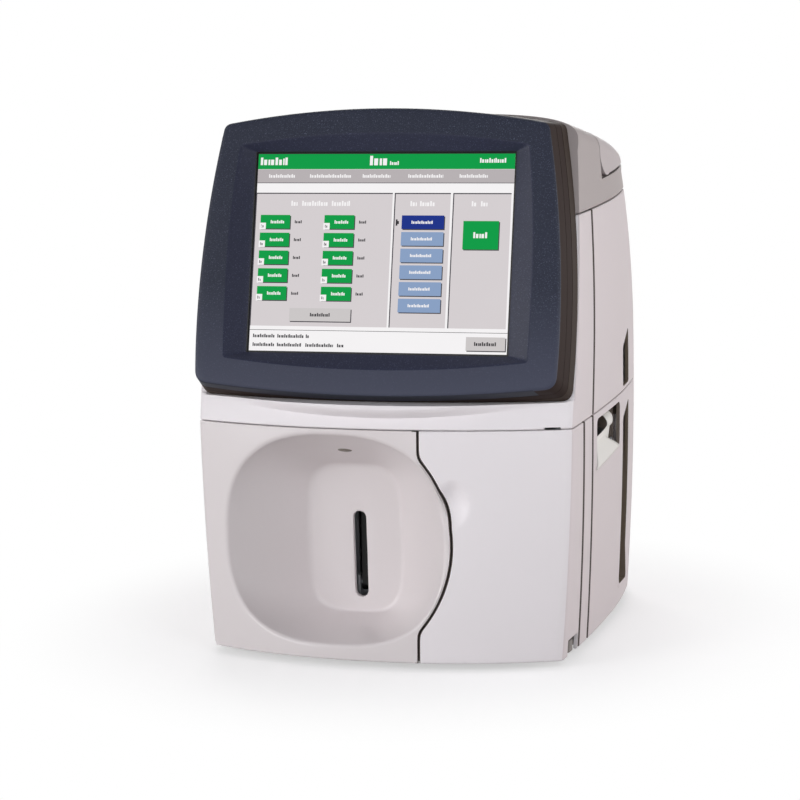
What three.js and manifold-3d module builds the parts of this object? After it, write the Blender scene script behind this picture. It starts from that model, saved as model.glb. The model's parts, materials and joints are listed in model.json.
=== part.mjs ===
// Bench-top blood analyzer: tilted touch screen, sampling bowl with an upright slot,
// cartridge door, strip printer in the right side and a folding carry handle.
// Millimetres. X to the viewer's right, Y to the back, Z up, origin on the table under the middle.
import * as THREE from 'three';
import { mergeVertices } from 'three/addons/utils/BufferGeometryUtils.js';
import Module from 'manifold-3d';

const wasm = await Module();
wasm.setup();

// Driving dimensions shared by many pieces
const wall = 3;
const seam = 0.9;
const fitGap = 0.35;
const overrun = 6;
const reach = 600;
const roundSides = 20;

// Moulded body: half widths bulge like a barrel, widest above the middle
const body = {
  bottomZ: 6,
  midSeamZ: 188.5,
  widestZ: 237,
  upperSeamZ: 349.5,
  side: { bottom: 150.4, widest: 158.5, upper: 154.5 },
  frontCorner: { bottom: 144, widest: 153.5, upper: 150.4 },
  rearCorner: { bottom: 142, widest: 151.5, upper: 144 },
  frontMidY: { bottom: -155.5, mid: -140.5 },
  frontCornerY: { bottom: -127.5, mid: -117 },
  rearMidY: { bottom: 155.5, mid: 152.5 },
  rearCornerY: { bottom: 140, mid: 138 },
  sideMidY: 25,
  frontRound: 8,
  rearRound: 22,
};
const frontBowPower = 2.2;
const levelShares = [0, 0.1, 0.2, 0.3, 0.42, 0.53, 0.65, 0.79, 0.9, 1];
const frontShares = [0, 0.17, 0.34, 0.5, 0.65, 0.78, 0.9, 1];
const sideShares = [0, 0.14, 0.3, 0.46, 0.62, 0.78, 0.9, 1];
const rearShares = [1, 0.75, 0.5, 0.25, 0];

// Crowned top that falls to the rear
const crown = { frontY: -51, rise: 30, middleZ: 427, fallShare: 0.2 };
const crownPower = 4;
const crownShares = [0.1, 0.24, 0.4, 0.6, 0.8, 0.94];

// Seams that cut the shell into covers
const sideSeamY = -59;
const doorRearY = -85;
const rearSeamY = 112;

// Display module, drawn in its own tilted plane with the screen's centre at zero
const display = {
  tilt: THREE.MathUtils.degToRad(15.8),
  y: -115.1,
  z: 325.1,
  depth: 37,
  flare: 6,
  frameDepth: 14,
  edgeRound: 4,
  recessDepth: 6.3,
  lip: 1.5,
  joint: 0.5,
};
const bezelOutline = {
  topHalf: 131.6, topCornerV: 100.7, topMidV: 113.1,
  widestHalf: 147, widestV: -60,
  bottomHalf: 145.6, bottomCornerV: -104.2, bottomMidV: -113.1,
  topRound: 5, bottomRound: 13,
};
const recessOutline = {
  topHalf: 117, topCornerV: 84, topMidV: 93.4,
  widestHalf: 123.9, widestV: -20,
  bottomHalf: 122.9, bottomCornerV: -84.4, bottomMidV: -92.3,
  topRound: 3, bottomRound: 3,
};
const screen = {
  width: 211.2, height: 158.4, border: 6, glass: 2.2, panel: 7, cornerRound: 1,
  board: 1.6, boardInset: 12, post: 3, postInset: 18,
};
const loopShares = [0, 0.1, 0.25, 0.4, 0.6, 0.75, 0.9, 1];

// Chin lip, a crescent shelf under the screen
const lip = { half: 128, frontY: -147.5, lowZ: 197.5, highZ: 205, endRise: 9 };

// Sampling bowl
const bowl = {
  x: -36.9, z: 100.9, half: 92, up: 82.9, rimRound: 3.6,
  floorX: -35, floorZ: 88, floorHalf: 39, floorUp: 61, floorY: -84,
};
const bowlUpperPower = 2.45;
const bowlLowerPower = 2.7;
const bowlFloorPower = 3.9;
const bowlWallPower = 1.1;
const bowlShares = [0.07, 0.3, 0.55, 0.78, 0.93, 1];
const bowlPoints = 44;
const slot = { x: -31.5, width: 11, lowZ: 39.5, highZ: 110.5 };
const light = { x: -34, y: -109, long: 6.2, short: 3.4, thick: 2.4 };

// Cartridge door: straight edges with a round bulge between them
const doorEdge = { x: 34.6, bulgeX: 61, arcZ: 98.5, radius: 102 };
const dimple = { x: 62, z: 131, halfX: 13, halfZ: 19, depth: 6 };
const doorHinge = {
  x: 138.5, y: -106, pin: 3.2, boss: 8.5, lowZ: 21, highZ: 168, lug: 8,
  notchFrontY: -116, notchRearY: -90, notchTopZ: 19.5, sweep: 24.2,
};
const topPinSlot = { x: 137.5, width: 12.5, height: 2.2 };
const latch = { z: 150, width: 16, thick: 2.5, long: 16, x: 68 };

// Printer in the right side
const printer = {
  lowY: -46, highY: 37, lowZ: 146, highZ: 183, round: 7,
  deepX: 119, frontX: 148.5, floorZ: 102, sheet: 2, side: 2.4,
};
const roller = { x: 142.4, z: 157, radius: 6, shaft: 2.2 };
const roll = { x: 136.5, z: 122, radius: 14, spindle: 4.2 };
const paper = { width: 57, thick: 0.7, x: 148.6, curlZ: 171.5, curl: 8, curlSweep: 3.6 };
const tearBar = { lowZ: 148.4, highZ: 153.6, x: 150.4, thick: 1.2, tooth: 1.5, count: 24 };
const printHead = { lowX: 124, highX: 132.6, lowZ: 150, highZ: 164, mountHalf: 9 };

// Recesses near the rear of both sides
const recess = { lowY: 52, highY: 80, depth: 13, lowZ: 24, highZ: 178, shortLowZ: 192, shortHighZ: 238 };
const recessSlopeShare = 0.45;

// Folding carry handle cut from the upper rear edge of the body
const handle = {
  aboveSeam: 21.5, pivotY: 28, eye: 21, eyeCut: 1, swing: 22.5, clearance: 2,
  arm: 18, barY: 131, grip: 30, pin: 4, pinInside: 9, pinOutside: 6,
};
const handleLowZ = body.upperSeamZ + handle.aboveSeam;
const handlePivotZ = handleLowZ + handle.eye - handle.eyeCut;

// Inner frame and what it carries
const base = { lowZ: 7, thick: 3, standoff: 6, vent: 5, ventLong: 60, ventCount: 6, ventPitch: 13, inset: 4 };
const foot = { x: 100, y: 102, radius: 12, tip: 9, height: 6.7 };
const frame = {
  sheet: 2, besideBay: 22, frontY: -78, rearY: 108, wallY: -58, topZ: 338, boardY: 62,
  footingHigh: 16, samplerSill: 12,
};
const cableWindow = { half: 70, frameLowZ: 210, coverLowZ: 222, highZ: 300 };
const bay = { lowX: 62, highX: 112, lowZ: 16, highZ: 180, frontY: -122, rearY: 74, sheet: 2 };
const frameHalf = bay.highX + frame.besideBay;
const frameLowZ = base.lowZ + base.thick + base.standoff;
const pack = {
  gap: 0.5, frontY: -118, depth: 176, grip: 10, gripDepth: 8, ledge: 14, seatGap: 1.6, sweepGap: 0.7,
};
const pump = {
  y: -6, z: 146, motorRadius: 19, motorLong: 26, rotorRadius: 15, rotorLong: 8, rollers: 3, roller: 4.5,
};
const valve = { y: 42, z: 70, motorRadius: 15, motorLong: 24, spindle: 6, spindleLong: 8, key: 0.8 };
const heater = { lowY: -40, highY: 12, lowZ: 54, highZ: 104, thick: 14, fins: 6, fin: 3, finDepth: 6 };
const motorGap = 0.4;
const motorSeat = 0.8;
const board = { thick: 1.6, lowX: -122, highX: 44, lowZ: 88, highZ: 250, rim: 18, chip: 24, chipHigh: 3 };
const supply = { lowX: -122, highX: -38, lowY: 66, highY: 104, highZ: 78, sheet: 1.6, vent: 4, vents: 8 };
const fan = {
  x: 62, z: 120, size: 80, depth: 22, gap: 1, bore: 37.5, hub: 17, blade: 35.5, blades: 7, bladeThick: 2,
};
const grille = { rows: 9, slotHigh: 4, pitch: 8 };
const inlet = {
  x: -98, z: 44, width: 28, height: 22, depth: 24, flangeWidth: 34, flangeHeight: 28, setBack: 0.7,
  pin: 2, pinPitch: 7,
};
const rocker = { x: -58, z: 44, width: 14, height: 22, depth: 11, bezel: 2.5, swing: 12, pivotDeep: 5 };
const ports = { lowX: -118, z: 104, height: 22, depth: 18, widths: [18, 32, 32, 16, 16], gap: 5, mouth: 1.6 };
const rearVent = { halfX: 60, lowZ: 190, count: 12, pitch: 11, high: 4.5 };
const screw = { head: 4, headHigh: 1.8, shank: 1.6, long: 7, x: 118, z: 20, upperZ: 330 };
const screwPlaces = [
  ['lower_left', -screw.x, screw.z],
  ['lower_right', screw.x, screw.z],
  ['upper_left', -screw.x, screw.upperZ],
  ['upper_right', screw.x, screw.upperZ],
];
const sampler = {
  pivotY: -66, pivotZ: 48, arm: 7, thick: 6, long: 58, needle: 0.9, needleLong: 30, pin: 2.5,
  bracket: 2, bracketGap: 4.5, bracketLow: 10.5, footHalf: 18, footDrop: 14, windowHalf: 9,
};

const colors = {
  cover: 0xd9d6d8, frontCover: 0xe1dfe3, bezel: 0x343a4b, displayShell: 0x4b403b, glass: 0xf2f0f0,
  panel: 0x8f979c, board: 0x23613c, steel: 0xb9bcc0, dark: 0x2a2a2c, grey: 0x77736f, white: 0xf5f3f0,
  foot: 0x303030, lens: 0x8a8478, rubber: 0x1f1f20, brown: 0x6b6258,
};

// Solids

function toSolid(geometry) {
  const bare = geometry.clone();
  bare.deleteAttribute('normal');
  bare.deleteAttribute('uv');
  const merged = mergeVertices(bare, 1e-5);
  const vertProperties = new Float32Array(merged.attributes.position.array);
  const triVerts = new Uint32Array(merged.index.array);
  return new wasm.Manifold(new wasm.Mesh({ numProp: 3, vertProperties, triVerts }));
}

function toGeometry(solid) {
  const mesh = solid.getMesh();
  const geometry = new THREE.BufferGeometry();
  geometry.setAttribute('position', new THREE.BufferAttribute(mesh.vertProperties, mesh.numProp));
  geometry.setIndex(new THREE.BufferAttribute(mesh.triVerts, 1));
  return geometry;
}

function block(lowX, highX, lowY, highY, lowZ, highZ) {
  const geometry = new THREE.BoxGeometry(highX - lowX, highY - lowY, highZ - lowZ);
  geometry.translate((lowX + highX) / 2, (lowY + highY) / 2, (lowZ + highZ) / 2);
  return toSolid(geometry);
}

// Extrudes a flat shape between two places on an axis: X draws in (Y, Z), Y in (X, Z), Z in (X, Y)
function prism(shape, axis, low, high, curveSegments = 10) {
  const settings = { depth: high - low, bevelEnabled: false, curveSegments };
  const geometry = new THREE.ExtrudeGeometry(shape, settings);
  const unit = [new THREE.Vector3(1, 0, 0), new THREE.Vector3(0, 1, 0), new THREE.Vector3(0, 0, 1)];
  const turn = new THREE.Matrix4();
  if (axis === 'X') {
    turn.makeBasis(unit[1], unit[2], unit[0]).setPosition(low, 0, 0);
  } else if (axis === 'Y') {
    turn.makeBasis(unit[0], unit[2], unit[1].clone().negate()).setPosition(0, high, 0);
  } else {
    turn.setPosition(0, 0, low);
  }
  geometry.applyMatrix4(turn);
  return toSolid(geometry);
}

function discShape(a, b, radiusA, radiusB = radiusA, sides = roundSides) {
  const points = [];
  for (let i = 0; i < sides; i += 1) {
    const angle = (i / sides) * Math.PI * 2;
    points.push(new THREE.Vector2(a + radiusA * Math.cos(angle), b + radiusB * Math.sin(angle)));
  }
  return new THREE.Shape(points);
}

function rod(axis, a, b, radius, low, high, sides = roundSides) {
  return prism(discShape(a, b, radius, radius, sides), axis, low, high);
}

function rectShape(lowA, highA, lowB, highB, round = 0) {
  const shape = new THREE.Shape();
  if (round === 0) {
    shape.moveTo(lowA, lowB);
    shape.lineTo(highA, lowB);
    shape.lineTo(highA, highB);
    shape.lineTo(lowA, highB);
    shape.closePath();
    return shape;
  }
  shape.absarc(highA - round, lowB + round, round, -Math.PI / 2, 0);
  shape.absarc(highA - round, highB - round, round, 0, Math.PI / 2);
  shape.absarc(lowA + round, highB - round, round, Math.PI / 2, Math.PI);
  shape.absarc(lowA + round, lowB + round, round, Math.PI, Math.PI * 1.5);
  shape.closePath();
  return shape;
}

// Skins a stack of rings that have as many points each, and closes both ends with a fan
function loft(rings) {
  const count = rings[0].length;
  const positions = rings.flat().flatMap((point) => [point.x, point.y, point.z]);
  const index = [];
  for (let k = 0; k + 1 < rings.length; k += 1) {
    for (let i = 0; i < count; i += 1) {
      const a = k * count + i;
      const b = k * count + ((i + 1) % count);
      index.push(a, b, b + count, a, b + count, a + count);
    }
  }
  const ends = [[rings[0], 0, true], [rings.at(-1), (rings.length - 1) * count, false]];
  for (const [ring, start, flip] of ends) {
    const centre = ring.reduce((sum, point) => sum.add(point), new THREE.Vector3()).divideScalar(count);
    const middle = positions.length / 3;
    positions.push(centre.x, centre.y, centre.z);
    for (let i = 0; i < count; i += 1) {
      const a = start + i;
      const b = start + ((i + 1) % count);
      index.push(...(flip ? [middle, b, a] : [middle, a, b]));
    }
  }
  const geometry = new THREE.BufferGeometry();
  geometry.setAttribute('position', new THREE.Float32BufferAttribute(positions, 3));
  geometry.setIndex(signedVolume(positions, index) < 0 ? index.reverse() : index);
  return toSolid(geometry);
}

function signedVolume(positions, index) {
  const corner = (i) => new THREE.Vector3().fromArray(positions, index[i] * 3);
  let volume = 0;
  for (let i = 0; i < index.length; i += 3) {
    volume += corner(i).dot(corner(i + 1).cross(corner(i + 2)));
  }
  return volume;
}

function joined(solids) {
  return solids.reduce((sum, solid) => sum.add(solid));
}

// Body form

function barrel(z, half) {
  const below = z < body.widestZ;
  const end = below ? half.bottom : half.upper;
  const span = below ? body.widestZ - body.bottomZ : body.upperSeamZ - body.widestZ;
  return half.widest - (half.widest - end) * ((z - body.widestZ) / span) ** 2;
}

// A front line leans with the screen above the mid seam
function frontLine(z, line) {
  if (z > body.midSeamZ) {
    return line.mid + (z - body.midSeamZ) * Math.tan(display.tilt);
  }
  return THREE.MathUtils.mapLinear(z, body.bottomZ, body.midSeamZ, line.bottom, line.mid);
}

function rearLine(z, line) {
  return THREE.MathUtils.mapLinear(z, body.bottomZ, body.midSeamZ, line.bottom, line.mid);
}

function frontSurfaceY(x, z) {
  const middle = frontLine(z, body.frontMidY);
  const corner = frontLine(z, body.frontCornerY);
  return middle + (corner - middle) * (Math.abs(x) / barrel(z, body.frontCorner)) ** frontBowPower;
}

function sideX(y, cornerX, cornerY, widest, rearX, rearY) {
  const ahead = y < body.sideMidY;
  const end = ahead ? cornerX : rearX;
  const endY = ahead ? cornerY : rearY;
  return widest - (widest - end) * ((y - body.sideMidY) / (endY - body.sideMidY)) ** 2;
}

function bend(from, corner, to, steps) {
  const curve = new THREE.QuadraticBezierCurve(from, corner, to);
  return curve.getPoints(steps).slice(1, -1);
}

// One half of the plan outline at a height, from the middle of the front to the middle of the rear
function halfPlan(z, inset) {
  const cornerX = barrel(z, body.frontCorner) - inset;
  const cornerY = frontLine(z, body.frontCornerY) + inset;
  const frontY = frontLine(z, body.frontMidY) + inset;
  const widest = barrel(z, body.side) - inset;
  const rearX = barrel(z, body.rearCorner) - inset;
  const rearY = rearLine(z, body.rearCornerY) - inset;
  const rearMidY = rearLine(z, body.rearMidY) - inset;
  const front = frontShares.map((share) => {
    const x = share * (cornerX - body.frontRound);
    return new THREE.Vector2(x, frontY + (cornerY - frontY) * (x / cornerX) ** frontBowPower);
  });
  const side = sideShares.map((share) => {
    const y = THREE.MathUtils.lerp(cornerY + body.frontRound, rearY - body.rearRound, share);
    return new THREE.Vector2(sideX(y, cornerX, cornerY, widest, rearX, rearY), y);
  });
  const rear = rearShares.map((share) => {
    const x = share * (rearX - body.rearRound);
    return new THREE.Vector2(x, rearMidY - (rearMidY - rearY) * (x / rearX) ** 2);
  });
  const frontCorner = new THREE.Vector2(cornerX, cornerY);
  const rearCorner = new THREE.Vector2(rearX, rearY);
  return [
    ...front,
    ...bend(front.at(-1), frontCorner, side[0], 3),
    ...side,
    ...bend(side.at(-1), rearCorner, rear[0], 4),
    ...rear,
  ];
}

function planRing(z, inset) {
  const right = halfPlan(z, inset);
  const left = right.slice(1, -1).reverse().map((point) => new THREE.Vector2(-point.x, point.y));
  return [...right, ...left].map((point) => new THREE.Vector3(point.x, point.y, z));
}

// Where the sides end and the crowned top starts
function shoulderZ(y) {
  return crown.middleZ - crown.rise - (y - crown.frontY) * crown.fallShare;
}

// A plan ring whose height depends on Y, squeezed in X and lifted for the crown
function bodyRing(heightAt, inset, squeeze = 1, lift = 0) {
  return planRing(heightAt(0), inset).map((rough, i) => {
    const point = planRing(heightAt(rough.y), inset)[i];
    return new THREE.Vector3(point.x * squeeze, point.y, heightAt(point.y) + lift);
  });
}

function fullBody(inset, lowZ) {
  const lerp = THREE.MathUtils.lerp;
  const sides = levelShares.map((share) => bodyRing((y) => lerp(lowZ, shoulderZ(y), share), inset));
  const top = crownShares.map((share) => {
    const angle = (share * Math.PI) / 2;
    const lift = (crown.rise - inset) * Math.sin(angle) ** (2 / crownPower);
    return bodyRing(shoulderZ, inset, Math.cos(angle) ** (2 / crownPower), lift);
  });
  return loft([...sides, ...top]);
}

// Display plane

const displayPlace = new THREE.Matrix4()
  .makeRotationX(Math.PI / 2 - display.tilt)
  .setPosition(0, display.y, display.z);

function inDisplayPlace(solid) {
  return solid.transform(displayPlace.elements);
}

function loopSideX(outline, v) {
  const above = v > outline.widestV;
  const end = above ? outline.topHalf : outline.bottomHalf;
  const endV = above ? outline.topCornerV : outline.bottomCornerV;
  const share = (v - outline.widestV) / (endV - outline.widestV);
  return outline.widestHalf - (outline.widestHalf - end) * share ** 2;
}

function grown(outline, offset) {
  const copy = { ...outline };
  for (const key of ['topHalf', 'widestHalf', 'bottomHalf', 'topCornerV', 'topMidV']) {
    copy[key] += offset;
  }
  copy.bottomCornerV -= offset;
  copy.bottomMidV -= offset;
  return copy;
}

// Closed outline with arched top and bottom and bowed sides
function archedLoop(outline) {
  const topFall = outline.topMidV - outline.topCornerV;
  const bottomRise = outline.bottomCornerV - outline.bottomMidV;
  const topV = (x) => outline.topMidV - topFall * (x / outline.topHalf) ** 2;
  const bottomV = (x) => outline.bottomMidV + bottomRise * (x / outline.bottomHalf) ** 2;
  const lerp = THREE.MathUtils.lerp;
  const topEnd = outline.topHalf - outline.topRound;
  const bottomEnd = outline.bottomHalf - outline.bottomRound;
  const top = loopShares
    .map((share) => lerp(topEnd, -topEnd, share))
    .map((x) => new THREE.Vector2(x, topV(x)));
  const bottom = loopShares
    .map((share) => lerp(-bottomEnd, bottomEnd, share))
    .map((x) => new THREE.Vector2(x, bottomV(x)));
  const highV = outline.topCornerV - outline.topRound;
  const lowV = outline.bottomCornerV + outline.bottomRound;
  const right = loopShares
    .map((share) => lerp(lowV, highV, share))
    .map((v) => new THREE.Vector2(loopSideX(outline, v), v));
  const left = right.slice().reverse().map((point) => new THREE.Vector2(-point.x, point.y));
  const topCorner = new THREE.Vector2(outline.topHalf, outline.topCornerV);
  const bottomCorner = new THREE.Vector2(outline.bottomHalf, outline.bottomCornerV);
  const mirrored = (point) => new THREE.Vector2(-point.x, point.y);
  return [
    ...top,
    ...bend(top.at(-1), mirrored(topCorner), left[0], 3),
    ...left,
    ...bend(left.at(-1), mirrored(bottomCorner), bottom[0], 4),
    ...bottom,
    ...bend(bottom.at(-1), bottomCorner, right[0], 4),
    ...right,
    ...bend(right.at(-1), topCorner, top[0], 3),
  ];
}

function loopRing(outline, w) {
  return archedLoop(outline).map((point) => new THREE.Vector3(point.x, point.y, w));
}

function flareAt(w) {
  return (display.flare * -w) / display.depth;
}

function screenOutline(margin) {
  const half = screen.width / 2 + margin;
  const up = screen.height / 2 + margin;
  return {
    topHalf: half, topCornerV: up, topMidV: up, widestHalf: half, widestV: 0,
    bottomHalf: half, bottomCornerV: -up, bottomMidV: -up,
    topRound: screen.cornerRound, bottomRound: screen.cornerRound,
  };
}

// Everything that the display module takes from the body
function displayCutter(extra) {
  const outline = grown(bezelOutline, display.flare + fitGap);
  const shape = new THREE.Shape();
  const lowV = (x) => outline.bottomMidV
    - (outline.bottomMidV - outline.bottomCornerV) * (x / outline.bottomHalf) ** 2 - extra;
  shape.moveTo(reach, reach);
  shape.lineTo(-reach, reach);
  shape.lineTo(-reach, outline.bottomCornerV - extra);
  for (const share of loopShares) {
    const x = THREE.MathUtils.lerp(-outline.bottomHalf, outline.bottomHalf, share);
    shape.lineTo(x, lowV(x));
  }
  shape.lineTo(reach, outline.bottomCornerV - extra);
  shape.closePath();
  return inDisplayPlace(prism(shape, 'Z', -display.depth - fitGap - extra, reach));
}

function shapedBody(inset, lowZ) {
  return fullBody(inset, lowZ).subtract(displayCutter(inset));
}

const outerBody = shapedBody(0, body.bottomZ);
const innerBody = shapedBody(wall, body.bottomZ - overrun);
const shell = outerBody.subtract(innerBody);

// Covers: parts of the shell between seams

function sideBlock(side, lowY, highY, lowZ, highZ) {
  return side > 0 ? block(0, reach, lowY, highY, lowZ, highZ) : block(-reach, 0, lowY, highY, lowZ, highZ);
}

const half = seam / 2;
const lowerTopZ = body.midSeamZ - half;
const upperLowZ = body.midSeamZ + half;
const upperTopZ = body.upperSeamZ - half;
const topLowZ = body.upperSeamZ + half;

function superPoint(angle, across, up, power) {
  const cos = Math.cos(angle);
  const sin = Math.sin(angle);
  return [
    across * Math.sign(cos) * Math.abs(cos) ** (2 / power),
    up * Math.sign(sin) * Math.abs(sin) ** (2 / power),
  ];
}

// One ring of the bowl: share 0 is the rim on the front surface, share 1 the flat floor
function bowlRing(share, grow, forward = 0) {
  const run = share ** bowlWallPower;
  const lerp = THREE.MathUtils.lerp;
  const points = [];
  for (let i = 0; i < bowlPoints; i += 1) {
    const angle = (i / bowlPoints) * Math.PI * 2;
    const rimPower = Math.sin(angle) > 0 ? bowlUpperPower : bowlLowerPower;
    const power = lerp(rimPower, bowlFloorPower, run);
    const across = lerp(bowl.half, bowl.floorHalf, run) + grow;
    const up = lerp(bowl.up, bowl.floorUp, run) + grow;
    const [dx, dz] = superPoint(angle, across, up, power);
    const x = lerp(bowl.x, bowl.floorX, run) + dx;
    const z = lerp(bowl.z, bowl.floorZ, run) + dz;
    const floorY = bowl.floorY + Math.max(grow, 0) * (share === 1 ? 1 : 0);
    points.push(new THREE.Vector3(x, lerp(frontSurfaceY(x, z), floorY, share) - forward, z));
  }
  return points;
}

function bowlHollow() {
  const flare = bowl.rimRound;
  return loft([
    bowlRing(0, flare, bowl.up),
    bowlRing(0, flare),
    bowlRing(bowlShares[0] / 3, flare / 3),
    ...bowlShares.map((share) => bowlRing(share, 0)),
  ]);
}

function bowlBack() {
  return loft([
    bowlRing(bowlShares[0] / 2, wall),
    ...bowlShares.map((share) => bowlRing(share, wall)),
  ]);
}

// Area on one side of the door's curved edge, drawn in (X, Z)
function doorEdgeShape(side) {
  const x = doorEdge.x + side * half;
  const radius = doorEdge.radius + side * half;
  const centreX = doorEdge.bulgeX - doorEdge.radius;
  const rise = Math.acos((x - centreX) / radius);
  const shape = new THREE.Shape();
  shape.moveTo(side * reach, -reach);
  shape.lineTo(x, -reach);
  shape.lineTo(x, doorEdge.arcZ - radius * Math.sin(rise));
  shape.absarc(centreX, doorEdge.arcZ, radius, -rise, rise, false);
  shape.lineTo(x, reach);
  shape.lineTo(side * reach, reach);
  shape.closePath();
  return shape;
}

function doorEdgeSolid(side) {
  return prism(doorEdgeShape(side), 'Y', -reach, reach, 18);
}

// Finger dimple across the door's edge: an oval cup pressed into both covers
function dimpleSolid(grow) {
  const geometry = new THREE.SphereGeometry(1, 20, 14);
  geometry.scale(dimple.halfX + grow, dimple.depth + grow, dimple.halfZ + grow);
  geometry.translate(dimple.x, frontSurfaceY(dimple.x, dimple.z), dimple.z);
  return toSolid(geometry);
}

const dimpleCup = dimpleSolid(wall).intersect(outerBody);
const dimpleHollow = dimpleSolid(0);

function slotShape() {
  const round = slot.width / 2;
  return rectShape(slot.x - round, slot.x + round, slot.lowZ, slot.highZ, round * (1 - 1 / roundSides));
}

// Place of the oval light in the bowl's upper wall
function lightPlace(depth) {
  const rim = superPoint(Math.PI / 2, bowl.half, bowl.up, bowlUpperPower)[1] + bowl.z;
  const floorTop = bowl.floorZ + bowl.floorUp;
  const surface = frontSurfaceY(light.x, rim);
  const share = (light.y - surface) / (bowl.floorY - surface);
  const z = THREE.MathUtils.lerp(rim, floorTop, share ** bowlWallPower);
  const slope = (bowlWallPower * share ** (bowlWallPower - 1) * (rim - floorTop)) / (bowl.floorY - surface);
  const place = new THREE.Matrix4().makeRotationX(-Math.atan(slope));
  return place.setPosition(light.x, light.y, z + depth);
}

function lightDisc(grow, low, high) {
  return prism(discShape(0, 0, light.long + grow, light.short + grow), 'Z', low, high)
    .transform(lightPlace(0).elements);
}

function bowlCover() {
  const region = block(-reach, reach, -reach, sideSeamY - half, body.bottomZ, lowerTopZ)
    .intersect(doorEdgeSolid(-1));
  const dished = joined([shell, bowlBack().intersect(outerBody), dimpleCup]);
  return dished
    .intersect(region)
    .subtract(bowlHollow())
    .subtract(dimpleHollow)
    .subtract(prism(slotShape(), 'Y', bowl.floorY - overrun, bowl.floorY + wall + overrun, 6))
    .subtract(lightDisc(fitGap, -overrun, overrun));
}

function doorHingeLug(lowZ) {
  const arm = rectShape(doorHinge.x - doorHinge.boss, doorHinge.x + doorHinge.boss, -reach, doorHinge.y);
  const lug = prism(arm, 'Z', lowZ, lowZ + doorHinge.lug)
    .add(rod('Z', doorHinge.x, doorHinge.y, doorHinge.boss, lowZ, lowZ + doorHinge.lug))
    .intersect(outerBody);
  const highZ = lowZ + doorHinge.lug;
  const bore = rod('Z', doorHinge.x, doorHinge.y, doorHinge.pin + fitGap, lowZ - overrun, highZ + overrun);
  return lug.subtract(bore);
}

function cartridgeDoor() {
  const region = block(-reach, reach, -reach, doorRearY - half, body.bottomZ, lowerTopZ)
    .intersect(doorEdgeSolid(1));
  const notch = block(
    doorHinge.x - doorHinge.boss, reach,
    doorHinge.notchFrontY, doorHinge.notchRearY,
    body.bottomZ - overrun, doorHinge.notchTopZ,
  );
  const faceY = frontSurfaceY(latch.x, latch.z);
  const hook = block(
    latch.x - latch.thick, latch.x, faceY + half, faceY + wall + latch.long,
    latch.z - latch.width / 2, latch.z + latch.width / 2,
  );
  return shell
    .add(dimpleCup)
    .intersect(region)
    .subtract(dimpleHollow)
    .subtract(notch)
    .add(doorHingeLug(doorHinge.lowZ))
    .add(doorHingeLug(doorHinge.highZ))
    .add(hook.intersect(outerBody).intersect(doorEdgeSolid(1)));
}

function doorSweep(extra) {
  return rod('Z', doorHinge.x, doorHinge.y, doorHinge.sweep + extra, -reach, lowerTopZ + half, 40);
}

function doorPillar() {
  const region = block(0, reach, doorRearY + half, sideSeamY - half, body.bottomZ, lowerTopZ);
  return shell.intersect(region).subtract(doorSweep(0));
}

// Crescent shelf of the chin: a plan outline met by a face outline
function lipShelf() {
  const steps = 16;
  const endY = frontSurfaceY(lip.half, lip.lowZ);
  const backY = frontLine(lip.lowZ, body.frontCornerY) + wall;
  const across = [];
  for (let i = 0; i <= steps; i += 1) {
    across.push(THREE.MathUtils.lerp(lip.half, -lip.half, i / steps));
  }
  const plan = across.map((x) => {
    const bow = 1 - Math.abs(x / lip.half) ** frontBowPower;
    return new THREE.Vector2(x, endY + (lip.frontY - endY) * bow);
  });
  const riseAt = (x) => lip.endRise * (x / lip.half) ** 2;
  const high = across.map((x) => new THREE.Vector2(x, lip.highZ + riseAt(x)));
  const low = across.slice().reverse().map((x) => new THREE.Vector2(x, lip.lowZ + riseAt(x)));
  const crescent = new THREE.Shape([
    new THREE.Vector2(lip.half, backY), ...plan, new THREE.Vector2(-lip.half, backY),
  ]);
  return prism(crescent, 'Z', lip.lowZ, lip.highZ + lip.endRise)
    .intersect(prism(new THREE.Shape([...high, ...low]), 'Y', -reach, reach))
    .subtract(innerBody)
    .subtract(displayCutter(0));
}

// Boss of the door's upper pin and the web that carries it
function upperHingeBoss() {
  const { x, y, boss, pin, lug } = doorHinge;
  const solid = rod('Z', x, y, boss, upperLowZ, upperLowZ + lug)
    .subtract(rod('Z', x, y, pin + fitGap, upperLowZ - overrun, upperLowZ + lug - wall));
  const web = block(x, reach, y - wall, y + wall, upperLowZ, upperLowZ + lug - wall)
    .intersect(outerBody)
    .subtract(rod('Z', x, y, boss - fitGap, -reach, reach));
  return solid.add(web);
}

function upperFrontCover() {
  const region = block(-reach, reach, -reach, sideSeamY - half, upperLowZ, upperTopZ);
  const window = block(
    -cableWindow.half, cableWindow.half, -reach, sideSeamY - wall, cableWindow.coverLowZ, cableWindow.highZ,
  );
  const pinSlot = block(
    topPinSlot.x - topPinSlot.width / 2, topPinSlot.x + topPinSlot.width / 2,
    -reach, doorHinge.y - doorHinge.boss,
    upperLowZ - overrun, upperLowZ + topPinSlot.height,
  );
  return shell
    .intersect(region)
    .add(lipShelf())
    .subtract(pinSlot)
    .subtract(window.intersect(displayCutter(wall + overrun)))
    .add(upperHingeBoss());
}

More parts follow.
